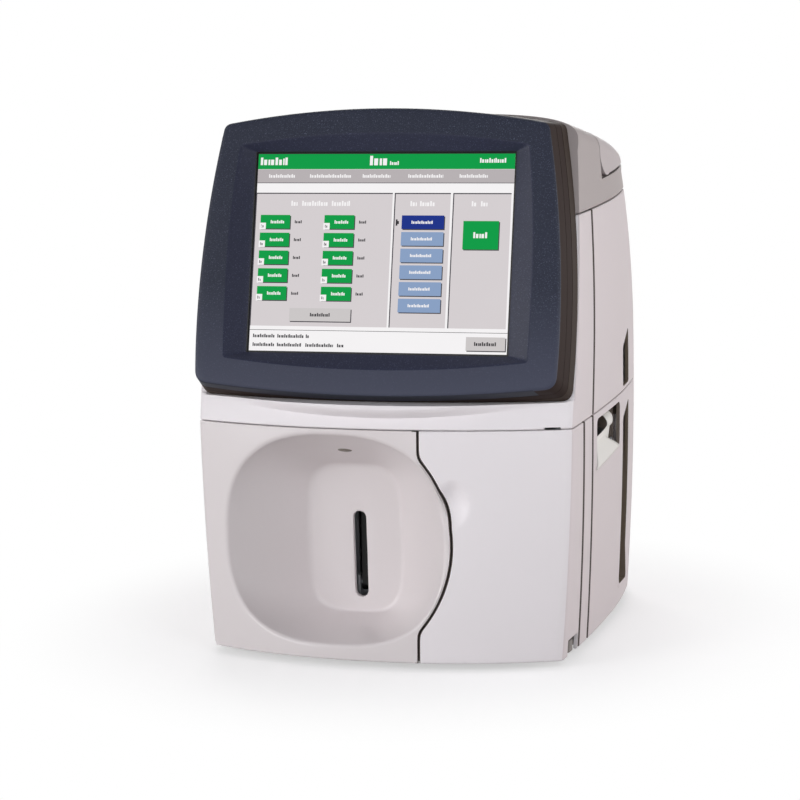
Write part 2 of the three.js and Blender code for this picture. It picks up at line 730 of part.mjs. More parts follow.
// Recess pocket near the rear of a side, its ends sloping like the seam above it
function recessSolids(side, lowZ, highZ) {
  const outline = new THREE.Shape();
  const slope = (recess.highY - recess.lowY) * recessSlopeShare;
  outline.moveTo(recess.lowY, lowZ);
  outline.lineTo(recess.highY, lowZ);
  outline.lineTo(recess.highY, highZ);
  outline.lineTo(recess.lowY, highZ - slope);
  outline.closePath();
  const lined = new THREE.Shape();
  lined.moveTo(recess.lowY - wall, lowZ - wall);
  lined.lineTo(recess.highY + wall, lowZ - wall);
  lined.lineTo(recess.highY + wall, highZ + wall);
  lined.lineTo(recess.lowY - wall, highZ - slope + wall);
  lined.closePath();
  const floorX = barrel(body.widestZ, body.side) - recess.depth;
  const span = side > 0 ? [floorX, reach] : [-reach, -floorX];
  const linedSpan = side > 0 ? [floorX - wall, reach] : [-reach, -floorX + wall];
  return {
    hollow: prism(outline, 'X', ...span),
    liner: prism(lined, 'X', ...linedSpan).intersect(outerBody),
  };
}

function withRecess(cover, side, lowZ, highZ) {
  const { hollow, liner } = recessSolids(side, lowZ, highZ);
  return cover.add(liner).subtract(hollow);
}

function leftSideCover() {
  const region = sideBlock(-1, sideSeamY + half, rearSeamY - half, body.bottomZ, upperTopZ);
  const tall = withRecess(shell.intersect(region), -1, recess.lowZ, recess.highZ);
  return withRecess(tall, -1, recess.shortLowZ, recess.shortHighZ);
}

function rightSideCover() {
  const region = sideBlock(1, sideSeamY + half, rearSeamY - half, upperLowZ, upperTopZ);
  return withRecess(shell.intersect(region), 1, recess.shortLowZ, recess.shortHighZ);
}

function printerWindow(grow) {
  const { lowY, highY, lowZ, highZ, round } = printer;
  return rectShape(lowY - grow, highY + grow, lowZ - grow, highZ + grow, round + grow);
}

function printerSideCover() {
  const region = sideBlock(1, sideSeamY + half, rearSeamY - half, body.bottomZ, lowerTopZ);
  const cover = withRecess(shell.intersect(region), 1, recess.lowZ, recess.highZ);
  return cover.subtract(prism(printerWindow(0), 'X', 0, reach, 5));
}

// Space that the folded handle lies in, and the channel that lines it
function handleWell(grow) {
  const innerHalf = barrel(handleLowZ, body.rearCorner) - handle.arm - handle.clearance - grow;
  const lowZ = handleLowZ - handle.clearance - grow;
  return block(-reach, reach, handle.pivotY - handle.swing - grow, reach, lowZ, reach)
    .subtract(block(-innerHalf, innerHalf, -reach, handle.barY - handle.grip - grow, -reach, reach));
}

function handleArmX() {
  return barrel(handleLowZ, body.rearCorner) - handle.arm;
}

function carryHandle() {
  const armX = handleArmX();
  const behind = block(-reach, reach, handle.pivotY, reach, handleLowZ, reach)
    .add(rod('X', handle.pivotY, handlePivotZ, handle.eye, -reach, reach, 32));
  const inside = block(-armX, armX, -reach, handle.barY, -reach, reach);
  const loop = outerBody.intersect(behind).subtract(inside)
    .intersect(block(-reach, reach, -reach, reach, handleLowZ - handle.clearance, reach));
  const pinTip = armX + handle.pinInside;
  const grown = rod('X', handle.pivotY, handlePivotZ, handle.pin + fitGap, -reach, reach, 16);
  const bore = grown.intersect(block(-pinTip, pinTip, -reach, reach, -reach, reach));
  return loop.subtract(bore);
}

function handlePivot(side) {
  const armX = handleArmX();
  const low = armX - handle.clearance - handle.pinOutside;
  const high = armX + handle.pinInside - fitGap;
  const span = side > 0 ? [low, high] : [-high, -low];
  return rod('X', handle.pivotY, handlePivotZ, handle.pin, ...span, 16);
}

function topCover() {
  const region = block(-reach, reach, -reach, reach, topLowZ, reach);
  const pivotHoles = rod('X', handle.pivotY, handlePivotZ, handle.pin + fitGap, -reach, reach, 16);
  return shell
    .add(handleWell(wall).intersect(outerBody))
    .intersect(region)
    .subtract(handleWell(0))
    .subtract(pivotHoles);
}

// Rear cover with vents and cut-outs for what looks out at the back

function rearCover() {
  const region = block(-reach, reach, rearSeamY + half, reach, body.bottomZ, upperTopZ);
  let cover = shell.intersect(region);
  for (let row = 0; row < rearVent.count; row += 1) {
    const lowZ = rearVent.lowZ + row * rearVent.pitch;
    cover = cover.subtract(
      block(-rearVent.halfX, rearVent.halfX, rearSeamY + body.rearRound, reach, lowZ, lowZ + rearVent.high),
    );
  }
  for (let row = 0; row < grille.rows; row += 1) {
    const z = fan.z + (row - (grille.rows - 1) / 2) * grille.pitch;
    const across = Math.sqrt(fan.bore ** 2 - (z - fan.z) ** 2);
    const lowZ = z - grille.slotHigh / 2;
    cover = cover.subtract(
      block(fan.x - across, fan.x + across, rearSeamY + body.rearRound, reach, lowZ, lowZ + grille.slotHigh),
    );
  }
  const openings = [
    rectAround(inlet.x, inlet.z, inlet.width + seam, inlet.height + seam),
    rectAround(rocker.x, rocker.z, rocker.width + rocker.bezel * 2, rocker.height + rocker.bezel * 2),
    rectShape(
      ports.lowX - ports.gap, portsHighX() + ports.gap, ports.z - ports.gap, ports.z + ports.height + ports.gap,
    ),
  ];
  for (const opening of openings) {
    cover = cover.subtract(prism(opening, 'Y', rearSeamY + wall, reach));
  }
  for (const [, x, z] of screwPlaces) {
    cover = cover
      .subtract(rod('Y', x, z, screw.shank + fitGap, rearSeamY, reach, 8))
      .subtract(rod('Y', x, z, screw.head + fitGap, rearSurfaceY(x, z) - screw.headHigh, reach, 12));
  }
  return cover;
}

function rectAround(a, b, width, height) {
  return rectShape(a - width / 2, a + width / 2, b - height / 2, b + height / 2);
}

function portsHighX() {
  return ports.lowX + ports.widths.reduce((sum, width) => sum + width + ports.gap, -ports.gap);
}

function rearSurfaceY(x, z, inset = 0) {
  const rearX = barrel(z, body.rearCorner);
  const rearY = rearLine(z, body.rearCornerY);
  const middle = rearLine(z, body.rearMidY);
  return middle - (middle - rearY) * (x / rearX) ** 2 - inset;
}

// Display pieces, in the display's own plane

function displayBezel() {
  const outer = loft([
    loopRing(grown(bezelOutline, -display.edgeRound), 0),
    loopRing(grown(bezelOutline, -display.edgeRound / 3), -display.edgeRound / 3),
    loopRing(bezelOutline, -display.edgeRound),
    loopRing(grown(bezelOutline, flareAt(-display.frameDepth)), -display.frameDepth),
  ]);
  const funnel = loft([
    loopRing(grown(recessOutline, 1), 1),
    loopRing(recessOutline, 0),
    loopRing(screenOutline(0), -display.recessDepth),
    loopRing(screenOutline(0), -display.recessDepth - display.lip - overrun),
  ]);
  const pocket = loft([
    loopRing(screenOutline(screen.border + fitGap), -display.recessDepth - display.lip),
    loopRing(screenOutline(screen.border + fitGap), -display.frameDepth - overrun),
  ]);
  return outer.subtract(funnel).subtract(pocket);
}

function displayRearShell() {
  const frontW = -display.frameDepth - display.joint;
  const backW = -display.depth;
  const stepW = (frontW + backW) / 2;
  const outer = loft([
    loopRing(grown(bezelOutline, flareAt(frontW)), frontW),
    loopRing(grown(bezelOutline, flareAt(stepW)), stepW),
    loopRing(grown(bezelOutline, flareAt(backW)), backW),
  ]);
  const hollow = loft([
    loopRing(grown(bezelOutline, flareAt(frontW) - wall), frontW + overrun),
    loopRing(grown(bezelOutline, flareAt(frontW) - wall), backW + wall),
  ]);
  return outer.subtract(hollow);
}

function screenPlate(highW, thick, margin) {
  return loft([loopRing(screenOutline(margin), highW), loopRing(screenOutline(margin), highW - thick)]);
}

const glassW = -display.recessDepth - display.lip - fitGap;
const panelW = glassW - screen.glass - fitGap;
const displayBoardW = panelW - screen.panel - fitGap;

function displayBoard() {
  const plate = screenPlate(displayBoardW, screen.board, -screen.boardInset);
  const backW = displayBoardW - screen.board;
  const restW = -display.depth + wall + fitGap;
  const postX = screen.width / 2 - screen.postInset;
  const postV = screen.height / 2 - screen.postInset;
  const posts = [];
  for (const x of [-1, 1]) {
    for (const v of [-1, 1]) {
      posts.push(rod('Z', x * postX, v * postV, screen.post, restW, backW + screen.board / 2, 10));
    }
  }
  return joined([plate, ...posts]);
}

// Base and inner frame

function basePan() {
  const plan = planRing(body.bottomZ, base.inset).map((point) => new THREE.Vector2(point.x, point.y));
  const plate = prism(new THREE.Shape(plan), 'Z', base.lowZ, base.lowZ + base.thick);
  const slots = [];
  for (let i = 0; i < base.ventCount; i += 1) {
    const x = (i - (base.ventCount - 1) / 2) * base.ventPitch;
    slots.push(block(
      x - base.vent / 2, x + base.vent / 2, -base.ventLong / 2, base.ventLong / 2,
      base.lowZ - overrun, base.lowZ + base.thick + overrun,
    ));
  }
  const lugLowZ = base.lowZ + base.thick / 2;
  const lugs = [];
  for (const x of [-1, 1]) {
    for (const y of [-1, 1]) {
      lugs.push(rod('Z', x * foot.x, y * foot.y, foot.radius + wall, lugLowZ, frameLowZ - fitGap, 12));
    }
  }
  const knuckle = rod('Z', doorHinge.x, doorHinge.y, doorHinge.boss, lugLowZ, doorHinge.notchTopZ - wall / 2)
    .intersect(outerBody)
    .subtract(rod('Z', doorHinge.x, doorHinge.y, doorHinge.pin + fitGap, base.lowZ + base.thick, reach));
  const wrapRelief = doorSweep(0).intersect(block(-reach, reach, doorHinge.y, reach, -reach, reach));
  return plate.subtract(joined(slots)).add(joined(lugs)).subtract(wrapRelief).add(knuckle);
}

function footSolid(x, y) {
  return loft([
    discRing(x, y, foot.tip, 0),
    discRing(x, y, foot.radius, foot.height / 3),
    discRing(x, y, foot.radius, foot.height),
  ]);
}

function discRing(x, y, radius, z) {
  const ring = [];
  for (let i = 0; i < roundSides; i += 1) {
    const angle = (i / roundSides) * Math.PI * 2;
    ring.push(new THREE.Vector3(x + radius * Math.cos(angle), y + radius * Math.sin(angle), z));
  }
  return ring;
}

// Bent sheet: floor, cross wall with windows, and a tab wall for the main board
function chassisFrame() {
  const sheet = frame.sheet;
  const floor = block(-frameHalf, frameHalf, frame.frontY, frame.rearY, frameLowZ, frameLowZ + sheet);
  const cross = block(-frameHalf, frameHalf, frame.wallY, frame.wallY + sheet, frameLowZ, frame.topZ);
  const cablePass = block(
    -cableWindow.half, cableWindow.half, frame.wallY - overrun, frame.wallY + sheet + overrun,
    cableWindow.frameLowZ, cableWindow.highZ,
  );
  const boardWall = block(
    board.lowX, board.highX, frame.boardY, frame.boardY + sheet, frameLowZ, board.highZ + overrun,
  );
  const boardWindow = block(
    board.lowX + board.rim, board.highX - board.rim, frame.boardY - overrun, frame.boardY + sheet + overrun,
    board.lowZ + board.rim, board.highZ - board.rim,
  );
  const baySpace = block(
    bay.lowX - fitGap, bay.highX + fitGap, bay.frontY, bay.rearY + fitGap, -reach, bay.highZ + fitGap,
  );
  const printerSpace = block(
    printer.deepX - printer.side, reach, printer.lowY - overrun, printer.highY + overrun,
    printer.floorZ - overrun, reach,
  );
  const samplerSpace = block(
    slot.x - sampler.windowHalf, slot.x + sampler.windowHalf,
    frame.wallY - overrun, frame.wallY + sheet + overrun,
    frameLowZ + frame.samplerSill, slot.highZ + overrun,
  );
  const betweenRecesses = barrel(body.widestZ, body.side) - recess.depth - wall * 2 - fitGap;
  const recessSpace = block(-betweenRecesses, betweenRecesses, -reach, reach, -reach, reach);
  const footing = [-frameHalf, frameHalf - sheet].map((lowX) => block(
    lowX, lowX + sheet, frame.wallY, frame.rearY, frameLowZ, frameLowZ + frame.footingHigh,
  ));
  return joined([floor, cross.subtract(cablePass), boardWall.subtract(boardWindow), ...footing])
    .intersect(recessSpace)
    .subtract(joined([baySpace, printerSpace, samplerSpace, doorSweep(fitGap)]));
}

function cartridgeBay() {
  const outer = block(bay.lowX, bay.highX, bay.frontY, bay.rearY, bay.lowZ, bay.highZ);
  const inner = block(
    bay.lowX + bay.sheet, bay.highX - bay.sheet, bay.frontY - overrun, bay.rearY - bay.sheet,
    bay.lowZ + bay.sheet, bay.highZ - bay.sheet,
  );
  const wallSpan = [bay.lowX - overrun, bay.lowX + overrun];
  const pumpHole = rod('X', pump.y, pump.z, pump.rotorRadius + motorSeat, ...wallSpan);
  const valveHole = rod('X', valve.y, valve.z, valve.spindle + motorSeat, ...wallSpan);
  return outer.subtract(inner).subtract(pumpHole).subtract(valveHole).subtract(doorSweep(fitGap));
}

function cartridgePack() {
  const low = bay.sheet + pack.gap;
  const casing = block(
    bay.lowX + low, bay.highX - low, pack.frontY, pack.frontY + pack.depth,
    bay.lowZ + bay.sheet + fitGap, bay.highZ - low,
  );
  const gripMiddle = (bay.lowX + bay.highX) / 2;
  const gripCut = block(
    gripMiddle - pack.grip, gripMiddle + pack.grip, pack.frontY - overrun, pack.frontY + pack.gripDepth,
    pump.z - pack.ledge, pump.z + pack.ledge,
  );
  const seatX = bay.lowX - overrun;
  const pumpDepthX = bay.lowX + low + pump.rotorLong;
  const pumpSeat = rod('X', pump.y, pump.z, pump.rotorRadius + pack.seatGap, seatX, pumpDepthX);
  const valveDepthX = bay.lowX + low + valve.spindleLong / 2;
  const valveSeat = rod('X', valve.y, valve.z, valve.spindle + pack.seatGap, seatX, valveDepthX);
  return casing.subtract(gripCut).subtract(pumpSeat).subtract(valveSeat).subtract(doorSweep(pack.sweepGap));
}

// Peristaltic drive: three rollers between a hub and the pack's tube
function pumpRotor() {
  const lowX = bay.lowX - motorGap;
  const highX = bay.lowX + bay.sheet + pump.rotorLong - motorGap;
  const hub = rod('X', pump.y, pump.z, pump.rotorRadius - pump.roller, lowX, highX);
  const rollers = [];
  for (let i = 0; i < pump.rollers; i += 1) {
    const angle = (i / pump.rollers) * Math.PI * 2;
    const away = pump.rotorRadius - pump.roller;
    rollers.push(rod(
      'X', pump.y + away * Math.cos(angle), pump.z + away * Math.sin(angle), pump.roller, lowX, highX, 12,
    ));
  }
  return joined([hub, ...rollers]);
}

function sideMotor(spec) {
  const highX = bay.lowX - motorSeat;
  const can = rod('X', spec.y, spec.z, spec.motorRadius, highX - spec.motorLong, highX - frame.sheet);
  const flange = block(
    highX - frame.sheet, highX, spec.y - spec.motorRadius - wall, spec.y + spec.motorRadius + wall,
    spec.z - spec.motorRadius - wall, spec.z + spec.motorRadius + wall,
  );
  return can.add(flange);
}

function valveSpindle() {
  const lowX = bay.lowX - motorGap;
  const highX = bay.lowX + bay.sheet + valve.spindleLong / 2 - motorGap;
  const shaft = rod('X', valve.y, valve.z, valve.spindle, lowX, highX);
  const key = block(
    highX - motorGap, highX + motorGap, valve.y - valve.spindle / 2, valve.y + valve.spindle / 2,
    valve.z - valve.key, valve.z + valve.key,
  );
  return shaft.add(key);
}

function heaterBlock() {
  const highX = bay.lowX - fitGap;
  const plateX = highX - heater.thick + heater.finDepth;
  const plate = block(plateX, highX, heater.lowY, heater.highY, heater.lowZ, heater.highZ);
  const pitch = (heater.highY - heater.lowY - heater.fin) / (heater.fins - 1);
  const fins = [];
  for (let i = 0; i < heater.fins; i += 1) {
    const lowY = heater.lowY + i * pitch;
    fins.push(block(
      highX - heater.thick, plateX + heater.fin, lowY, lowY + heater.fin, heater.lowZ, heater.highZ,
    ));
  }
  return joined([plate, ...fins]);
}

// Sampler behind the bowl's slot

function samplerBracket() {
  const backY = frame.wallY - fitGap;
  const frontY = sampler.pivotY - sampler.arm;
  const lowZ = sampler.pivotZ - sampler.bracketLow;
  const highZ = sampler.pivotZ + sampler.arm;
  const cheeks = [-1, 1].map((side) => {
    const inner = slot.x + side * sampler.bracketGap;
    const outer = inner + side * sampler.bracket;
    return block(Math.min(inner, outer), Math.max(inner, outer), frontY, backY, lowZ, highZ);
  });
  const footPlate = block(
    slot.x - sampler.footHalf, slot.x + sampler.footHalf, backY - sampler.bracket, backY,
    lowZ - sampler.footDrop, lowZ + sampler.bracket,
  );
  const bore = rod('X', sampler.pivotY, sampler.pivotZ, sampler.pin + fitGap, -reach, reach, 14);
  return joined([...cheeks, footPlate]).subtract(bore);
}

function samplerArm() {
  const low = slot.x - sampler.thick / 2;
  const high = slot.x + sampler.thick / 2;
  const outline = new THREE.Shape();
  const r = sampler.arm;
  const tip = sampler.arm / 2;
  outline.absarc(sampler.pivotY, sampler.pivotZ, r - fitGap, Math.PI, 0);
  outline.lineTo(sampler.pivotY + tip, sampler.pivotZ + sampler.long);
  outline.lineTo(sampler.pivotY - tip, sampler.pivotZ + sampler.long);
  outline.closePath();
  const needleHole = rod('Z', slot.x, sampler.pivotY, sampler.needle + fitGap / 2,
    sampler.pivotZ + sampler.long - sampler.needleLong / 2, reach, 8);
  return prism(outline, 'X', low, high, 8)
    .subtract(rod('X', sampler.pivotY, sampler.pivotZ, sampler.pin + fitGap, -reach, reach, 14))
    .subtract(needleHole);
}

function samplerNeedle() {
  const topZ = sampler.pivotZ + sampler.long;
  const lowZ = topZ - sampler.needleLong / 2 + fitGap;
  return rod('Z', slot.x, sampler.pivotY, sampler.needle, lowZ, lowZ + sampler.needleLong / 2 + wall, 8);
}

function samplerPivot() {
  const outer = sampler.bracketGap + sampler.bracket + fitGap;
  return rod('X', sampler.pivotY, sampler.pivotZ, sampler.pin, slot.x - outer, slot.x + outer, 14);
}

// Boards, power and ports

function cpuBoard() {
  const lowY = frame.boardY + frame.sheet + fitGap;
  const plate = block(board.lowX, board.highX, lowY, lowY + board.thick, board.lowZ, board.highZ);
  const chips = [];
  for (const [across, up] of [[1, 4], [3, 5], [5, 3]]) {
    const x = board.lowX + across * board.chip;
    const z = board.lowZ + up * board.chip;
    chips.push(block(
      x, x + board.chip, lowY + board.thick / 2, lowY + board.thick + board.chipHigh, z, z + board.chip,
    ));
  }
  return joined([plate, ...chips]);
}

function ioPorts() {
  const lowY = frame.boardY + frame.sheet + fitGap * 2 + board.thick;
  const faceY = rearSurfaceY(ports.lowX, ports.z) - wall - fitGap;
  const shells = [];
  const mouths = [];
  let x = ports.lowX;
  for (const width of ports.widths) {
    shells.push(block(x, x + width, faceY - ports.depth, faceY, ports.z, ports.z + ports.height));
    mouths.push(block(
      x + ports.mouth, x + width - ports.mouth, faceY - ports.depth / 2, faceY + overrun,
      ports.z + ports.mouth, ports.z + ports.height - ports.mouth,
    ));
    x += width + ports.gap;
  }
  const deck = block(
    ports.lowX, portsHighX(), lowY, faceY - ports.depth / 2, ports.z - wall, ports.z + wall / 2,
  );
  return joined([deck, ...shells]).subtract(joined(mouths));
}

function powerSupply() {
  const lowZ = frameLowZ + frame.sheet + fitGap;
  const outer = block(supply.lowX, supply.highX, supply.lowY, supply.highY, lowZ, supply.highZ);
  let can = outer;
  const inside = block(
    supply.lowX + supply.sheet, supply.highX - supply.sheet,
    supply.lowY + supply.sheet, supply.highY - supply.sheet,
    lowZ + supply.sheet, supply.highZ - supply.sheet,
  );
  can = can.subtract(inside);
  const pitch = (supply.highX - supply.lowX) / (supply.vents + 1);
  for (let i = 1; i <= supply.vents; i += 1) {
    const x = supply.lowX + i * pitch;
    can = can.subtract(block(
      x - supply.vent / 2, x + supply.vent / 2, supply.lowY + supply.vent, supply.highY - supply.vent,
      supply.highZ - supply.sheet * 2, supply.highZ + overrun,
    ));
  }
  return can;
}

function powerInlet() {
  const faceY = rearSurfaceY(Math.abs(inlet.x) + inlet.flangeWidth / 2, inlet.z) - inlet.setBack;
  const deepY = faceY - inlet.depth;
  const casing = prism(rectAround(inlet.x, inlet.z, inlet.width, inlet.height), 'Y', deepY, faceY + wall);
  const flangeShape = rectAround(inlet.x, inlet.z, inlet.flangeWidth, inlet.flangeHeight);
  const flange = prism(flangeShape, 'Y', faceY - wall * 2, faceY - wall);
  const mouth = rectAround(inlet.x, inlet.z, inlet.width - wall * 2, inlet.height - wall * 2);
  const pins = [-1, 0, 1].map((side) => {
    const z = inlet.z + (side === 0 ? 1 : -1) * inlet.pin;
    const outline = rectAround(inlet.x + side * inlet.pinPitch, z, inlet.pin, inlet.pin * 2);
    return prism(outline, 'Y', deepY + wall, faceY - wall);
  });
  return joined([casing, flange]).subtract(prism(mouth, 'Y', deepY + wall * 2, reach)).add(joined(pins));
}

function rockerFrame() {
  const faceY = rearSurfaceY(rocker.x, rocker.z) - wall;
  const rim = rocker.bezel * 2 - seam;
  const outer = rectAround(rocker.x, rocker.z, rocker.width + rim, rocker.height + rim);
  const well = rectAround(rocker.x, rocker.z, rocker.width + seam, rocker.height + seam);
  return prism(outer, 'Y', faceY - rocker.depth * 2, faceY + wall)
    .subtract(prism(well, 'Y', faceY - rocker.depth - wall, reach));
}

function powerSwitch() {
  const faceY = rearSurfaceY(rocker.x, rocker.z);
  const up = rocker.height / 2 - wall / 2;
  const lift = up * Math.tan(THREE.MathUtils.degToRad(rocker.swing / 2));
  const deep = faceY - rocker.pivotDeep;
  const outline = new THREE.Shape();
  outline.moveTo(deep - wall, rocker.z - up / 2);
  outline.lineTo(deep + wall / 3, rocker.z - up);
  outline.lineTo(faceY + lift - wall / 2, rocker.z - up);
  outline.lineTo(faceY - wall, rocker.z);
  outline.lineTo(faceY - lift - wall / 2, rocker.z + up);
  outline.lineTo(deep - lift - wall / 3, rocker.z + up);
  outline.lineTo(deep - wall, rocker.z + up / 2);
  outline.closePath();
  return prism(outline, 'X', rocker.x - rocker.width / 2, rocker.x + rocker.width / 2);
}

// Fan behind the grille

function fanLowY() {
  return rearSurfaceY(fan.x + fan.size / 2, fan.z) - wall - fan.depth - fan.gap;
}

function fanFrame() {
  const lowY = fanLowY();
  const shape = rectAround(fan.x, fan.z, fan.size, fan.size);
  shape.holes.push(discShape(fan.x, fan.z, fan.bore, fan.bore, 28));
  const ring = prism(shape, 'Y', lowY, lowY + fan.depth);
  const disc = rod('Y', fan.x, fan.z, fan.hub, lowY, lowY + wall);
  const spokes = [0, 1].map((turn) => {
    const wide = turn === 0 ? fan.bore + wall : wall / 2;
    const tall = turn === 0 ? wall / 2 : fan.bore + wall;
    return prism(rectAround(fan.x, fan.z, wide * 2, tall * 2), 'Y', lowY, lowY + wall);
  });
  const axle = rod('Y', fan.x, fan.z, wall / 2, lowY, lowY + fan.depth / 2, 10);
  return joined([ring, disc, ...spokes, axle]);
}

function fanRotor() {
  const lowY = fanLowY() + wall + fitGap * 2;
  const highY = fanLowY() + fan.depth - fitGap * 2;
  const hub = rod('Y', fan.x, fan.z, fan.hub, lowY, highY);
  const blades = [];
  for (let i = 0; i < fan.blades; i += 1) {
    const blade = new THREE.BoxGeometry(fan.blade - fan.hub / 2, highY - lowY - wall * 2, fan.bladeThick);
    blade.rotateX(Math.PI / 5);
    blade.translate((fan.blade + fan.hub / 2) / 2, 0, 0);
    blade.rotateY((i / fan.blades) * Math.PI * 2);
    blade.translate(fan.x, (lowY + highY) / 2, fan.z);
    blades.push(toSolid(blade));
  }
  const boreEndY = fanLowY() + fan.depth / 2 + fitGap;
  const bore = rod('Y', fan.x, fan.z, wall / 2 + fitGap, lowY - overrun, boreEndY, 12);
  return joined([hub, ...blades]).subtract(bore);
}

// Printer: a tray open to the window, roller, roll and paper

function printerFrame() {
  const lowY = printer.lowY - printer.side;
  const highY = printer.highY + printer.side;
  const highZ = printer.highZ + printer.side;
  const outer = block(printer.deepX, printer.frontX + wall, lowY, highY, printer.floorZ, highZ)
    .intersect(innerBody);
  const inner = block(
    printer.deepX + printer.sheet, reach, lowY + printer.sheet, highY - printer.sheet,
    printer.floorZ + printer.sheet, highZ - printer.sheet,
  );
  const axles = [
    rod('Y', roller.x, roller.z, roller.shaft + fitGap, -reach, reach, 12),
    rod('Y', roll.x, roll.z, roll.spindle + fitGap, -reach, reach, 12),
  ];
  const gapped = outer.subtract(inner).subtract(joined(axles));
  const sill = block(
    roll.x + roll.radius - wall, tearBar.x - fitGap, lowY + printer.sheet / 2, highY - printer.sheet / 2,
    tearBar.lowZ - wall * 2, tearBar.lowZ - wall,
  );
  return gapped.add(sill.intersect(innerBody)).subtract(paperPath(fitGap));
}

// Outline of the paper strip in (X, Z): straight up from the roll, then a curl
function paperShape(grow) {
  const thick = paper.thick / 2 + grow;
  const startX = roll.x + roll.radius + paper.thick;
  const centreX = paper.x - paper.curl;
  const outside = [];
  const inside = [];
  outside.push([startX + thick, roll.z]);
  inside.push([startX - thick, roll.z]);
  const steps = 14;
  for (let i = 0; i <= steps; i += 1) {
    const angle = (i / steps) * paper.curlSweep;
    for (const [line, radius] of [[outside, paper.curl + thick], [inside, paper.curl - thick]]) {
      line.push([centreX + radius * Math.cos(angle), paper.curlZ + radius * Math.sin(angle)]);
    }
  }
  const loop = [...outside, ...inside.reverse()];
  return new THREE.Shape(loop.map(([x, z]) => new THREE.Vector2(x, z)));
}

function paperMiddleY() {
  return (printer.lowY + printer.highY) / 2;
}

function paperPath(grow) {
  const middle = paperMiddleY();
  return prism(paperShape(grow), 'Y', middle - paper.width / 2 - grow, middle + paper.width / 2 + grow);
}

function printerAxle(spec, radius, shaft) {
  const middle = paperMiddleY();
  const reachY = (printer.highY - printer.lowY) / 2 + printer.side - fitGap;
  const drum = rod('Y', spec.x, spec.z, radius, middle - paper.width / 2, middle + paper.width / 2);
  return drum.add(rod('Y', spec.x, spec.z, shaft, middle - reachY, middle + reachY, 12));
}

function tearBarSolid() {
  const lowY = printer.lowY + printer.side;
  const highY = printer.highY - printer.side;
  const pitch = (highY - lowY) / tearBar.count;
  const outline = new THREE.Shape();
  outline.moveTo(lowY, tearBar.lowZ);
  outline.lineTo(highY, tearBar.lowZ);
  outline.lineTo(highY, tearBar.highZ - tearBar.tooth);
  for (let i = tearBar.count; i > 0; i -= 1) {
    outline.lineTo(lowY + (i - 1 / 2) * pitch, tearBar.highZ);
    outline.lineTo(lowY + (i - 1) * pitch, tearBar.highZ - tearBar.tooth);
  }
  outline.closePath();
  return prism(outline, 'X', tearBar.x, tearBar.x + tearBar.thick);
}

function printHeadSolid() {
  const middle = paperMiddleY();
  const head = block(
    printHead.lowX, printHead.highX, middle - paper.width / 2, middle + paper.width / 2,
    printHead.lowZ, printHead.highZ,
  );
  const mount = block(
    printer.deepX + printer.sheet + fitGap, printHead.lowX + wall / 2,
    middle - printHead.mountHalf, middle + printHead.mountHalf,
    printHead.lowZ + wall, printHead.highZ - wall,
  );
  return head.add(mount);
}

// Fasteners of the rear cover
function coverScrew(x, z) {
  const seatY = rearSurfaceY(x, z) - screw.headHigh + fitGap;
  const head = rod('Y', x, z, screw.head, seatY, seatY + screw.headHigh, 12);
  return head.add(rod('Y', x, z, screw.shank, seatY - screw.long, seatY + fitGap, 8));
}

// Scene graph

const analyzer = new THREE.Group();

function add(name, solid, color, roughness = 0.5, metalness = 0, parent = analyzer) {
  const material = new THREE.MeshStandardMaterial({ color, roughness, metalness });
  const mesh = new THREE.Mesh(toGeometry(solid), material);
  mesh.name = name;
  parent.add(mesh);
}

const displayGroup = new THREE.Group();
displayGroup.position.set(0, display.y, display.z);
displayGroup.rotation.x = Math.PI / 2 - display.tilt;
analyzer.add(displayGroup);

add('display_bezel', displayBezel(), colors.bezel, 0.55, 0, displayGroup);
add('display_rear_shell', displayRearShell(), colors.displayShell, 0.55, 0, displayGroup);
add('screen_glass', screenPlate(glassW, screen.glass, screen.border), colors.glass, 0.15, 0, displayGroup);
add('lcd_panel', screenPlate(panelW, screen.panel, screen.border), colors.panel, 0.4, 0.6, displayGroup);
add('display_board', displayBoard(), colors.board, 0.5, 0, displayGroup);

add('bowl_cover', bowlCover(), colors.frontCover, 0.4);
add('cartridge_door', cartridgeDoor(), colors.frontCover, 0.4);
add('door_pillar', doorPillar(), colors.cover, 0.45);
add('upper_front_cover', upperFrontCover(), colors.frontCover, 0.4);
add('left_side_cover', leftSideCover(), colors.cover, 0.45);
add('right_side_cover', rightSideCover(), colors.cover, 0.45);
add('printer_side_cover', printerSideCover(), colors.cover, 0.45);
add('top_cover', topCover(), colors.cover, 0.45);
add('rear_cover', rearCover(), colors.cover, 0.45);
add('bowl_light', lightDisc(0, -light.thick / 2, light.thick), colors.lens, 0.2);

add('carry_handle', carryHandle(), colors.cover, 0.45);
add('handle_pivot_left', handlePivot(-1), colors.steel, 0.3, 0.9);
add('handle_pivot_right', handlePivot(1), colors.steel, 0.3, 0.9);

add('base_pan', basePan(), colors.brown, 0.6);
const footPlaces = [['front_left', -1, -1], ['front_right', 1, -1], ['rear_left', -1, 1], ['rear_right', 1, 1]];
for (const [name, x, y] of footPlaces) {
  add(`foot_${name}`, footSolid(x * foot.x, y * foot.y), colors.foot, 0.8);
}
const doorPins = [
  ['lower', base.lowZ + base.thick + fitGap, doorHinge.lowZ + doorHinge.lug - fitGap],
  ['upper', doorHinge.highZ + fitGap, upperLowZ + doorHinge.lug - wall - fitGap],
];
for (const [name, lowZ, highZ] of doorPins) {
  const pin = rod('Z', doorHinge.x, doorHinge.y, doorHinge.pin, lowZ, highZ, 16);
  add(`door_pin_${name}`, pin, colors.steel, 0.3, 0.9);
}

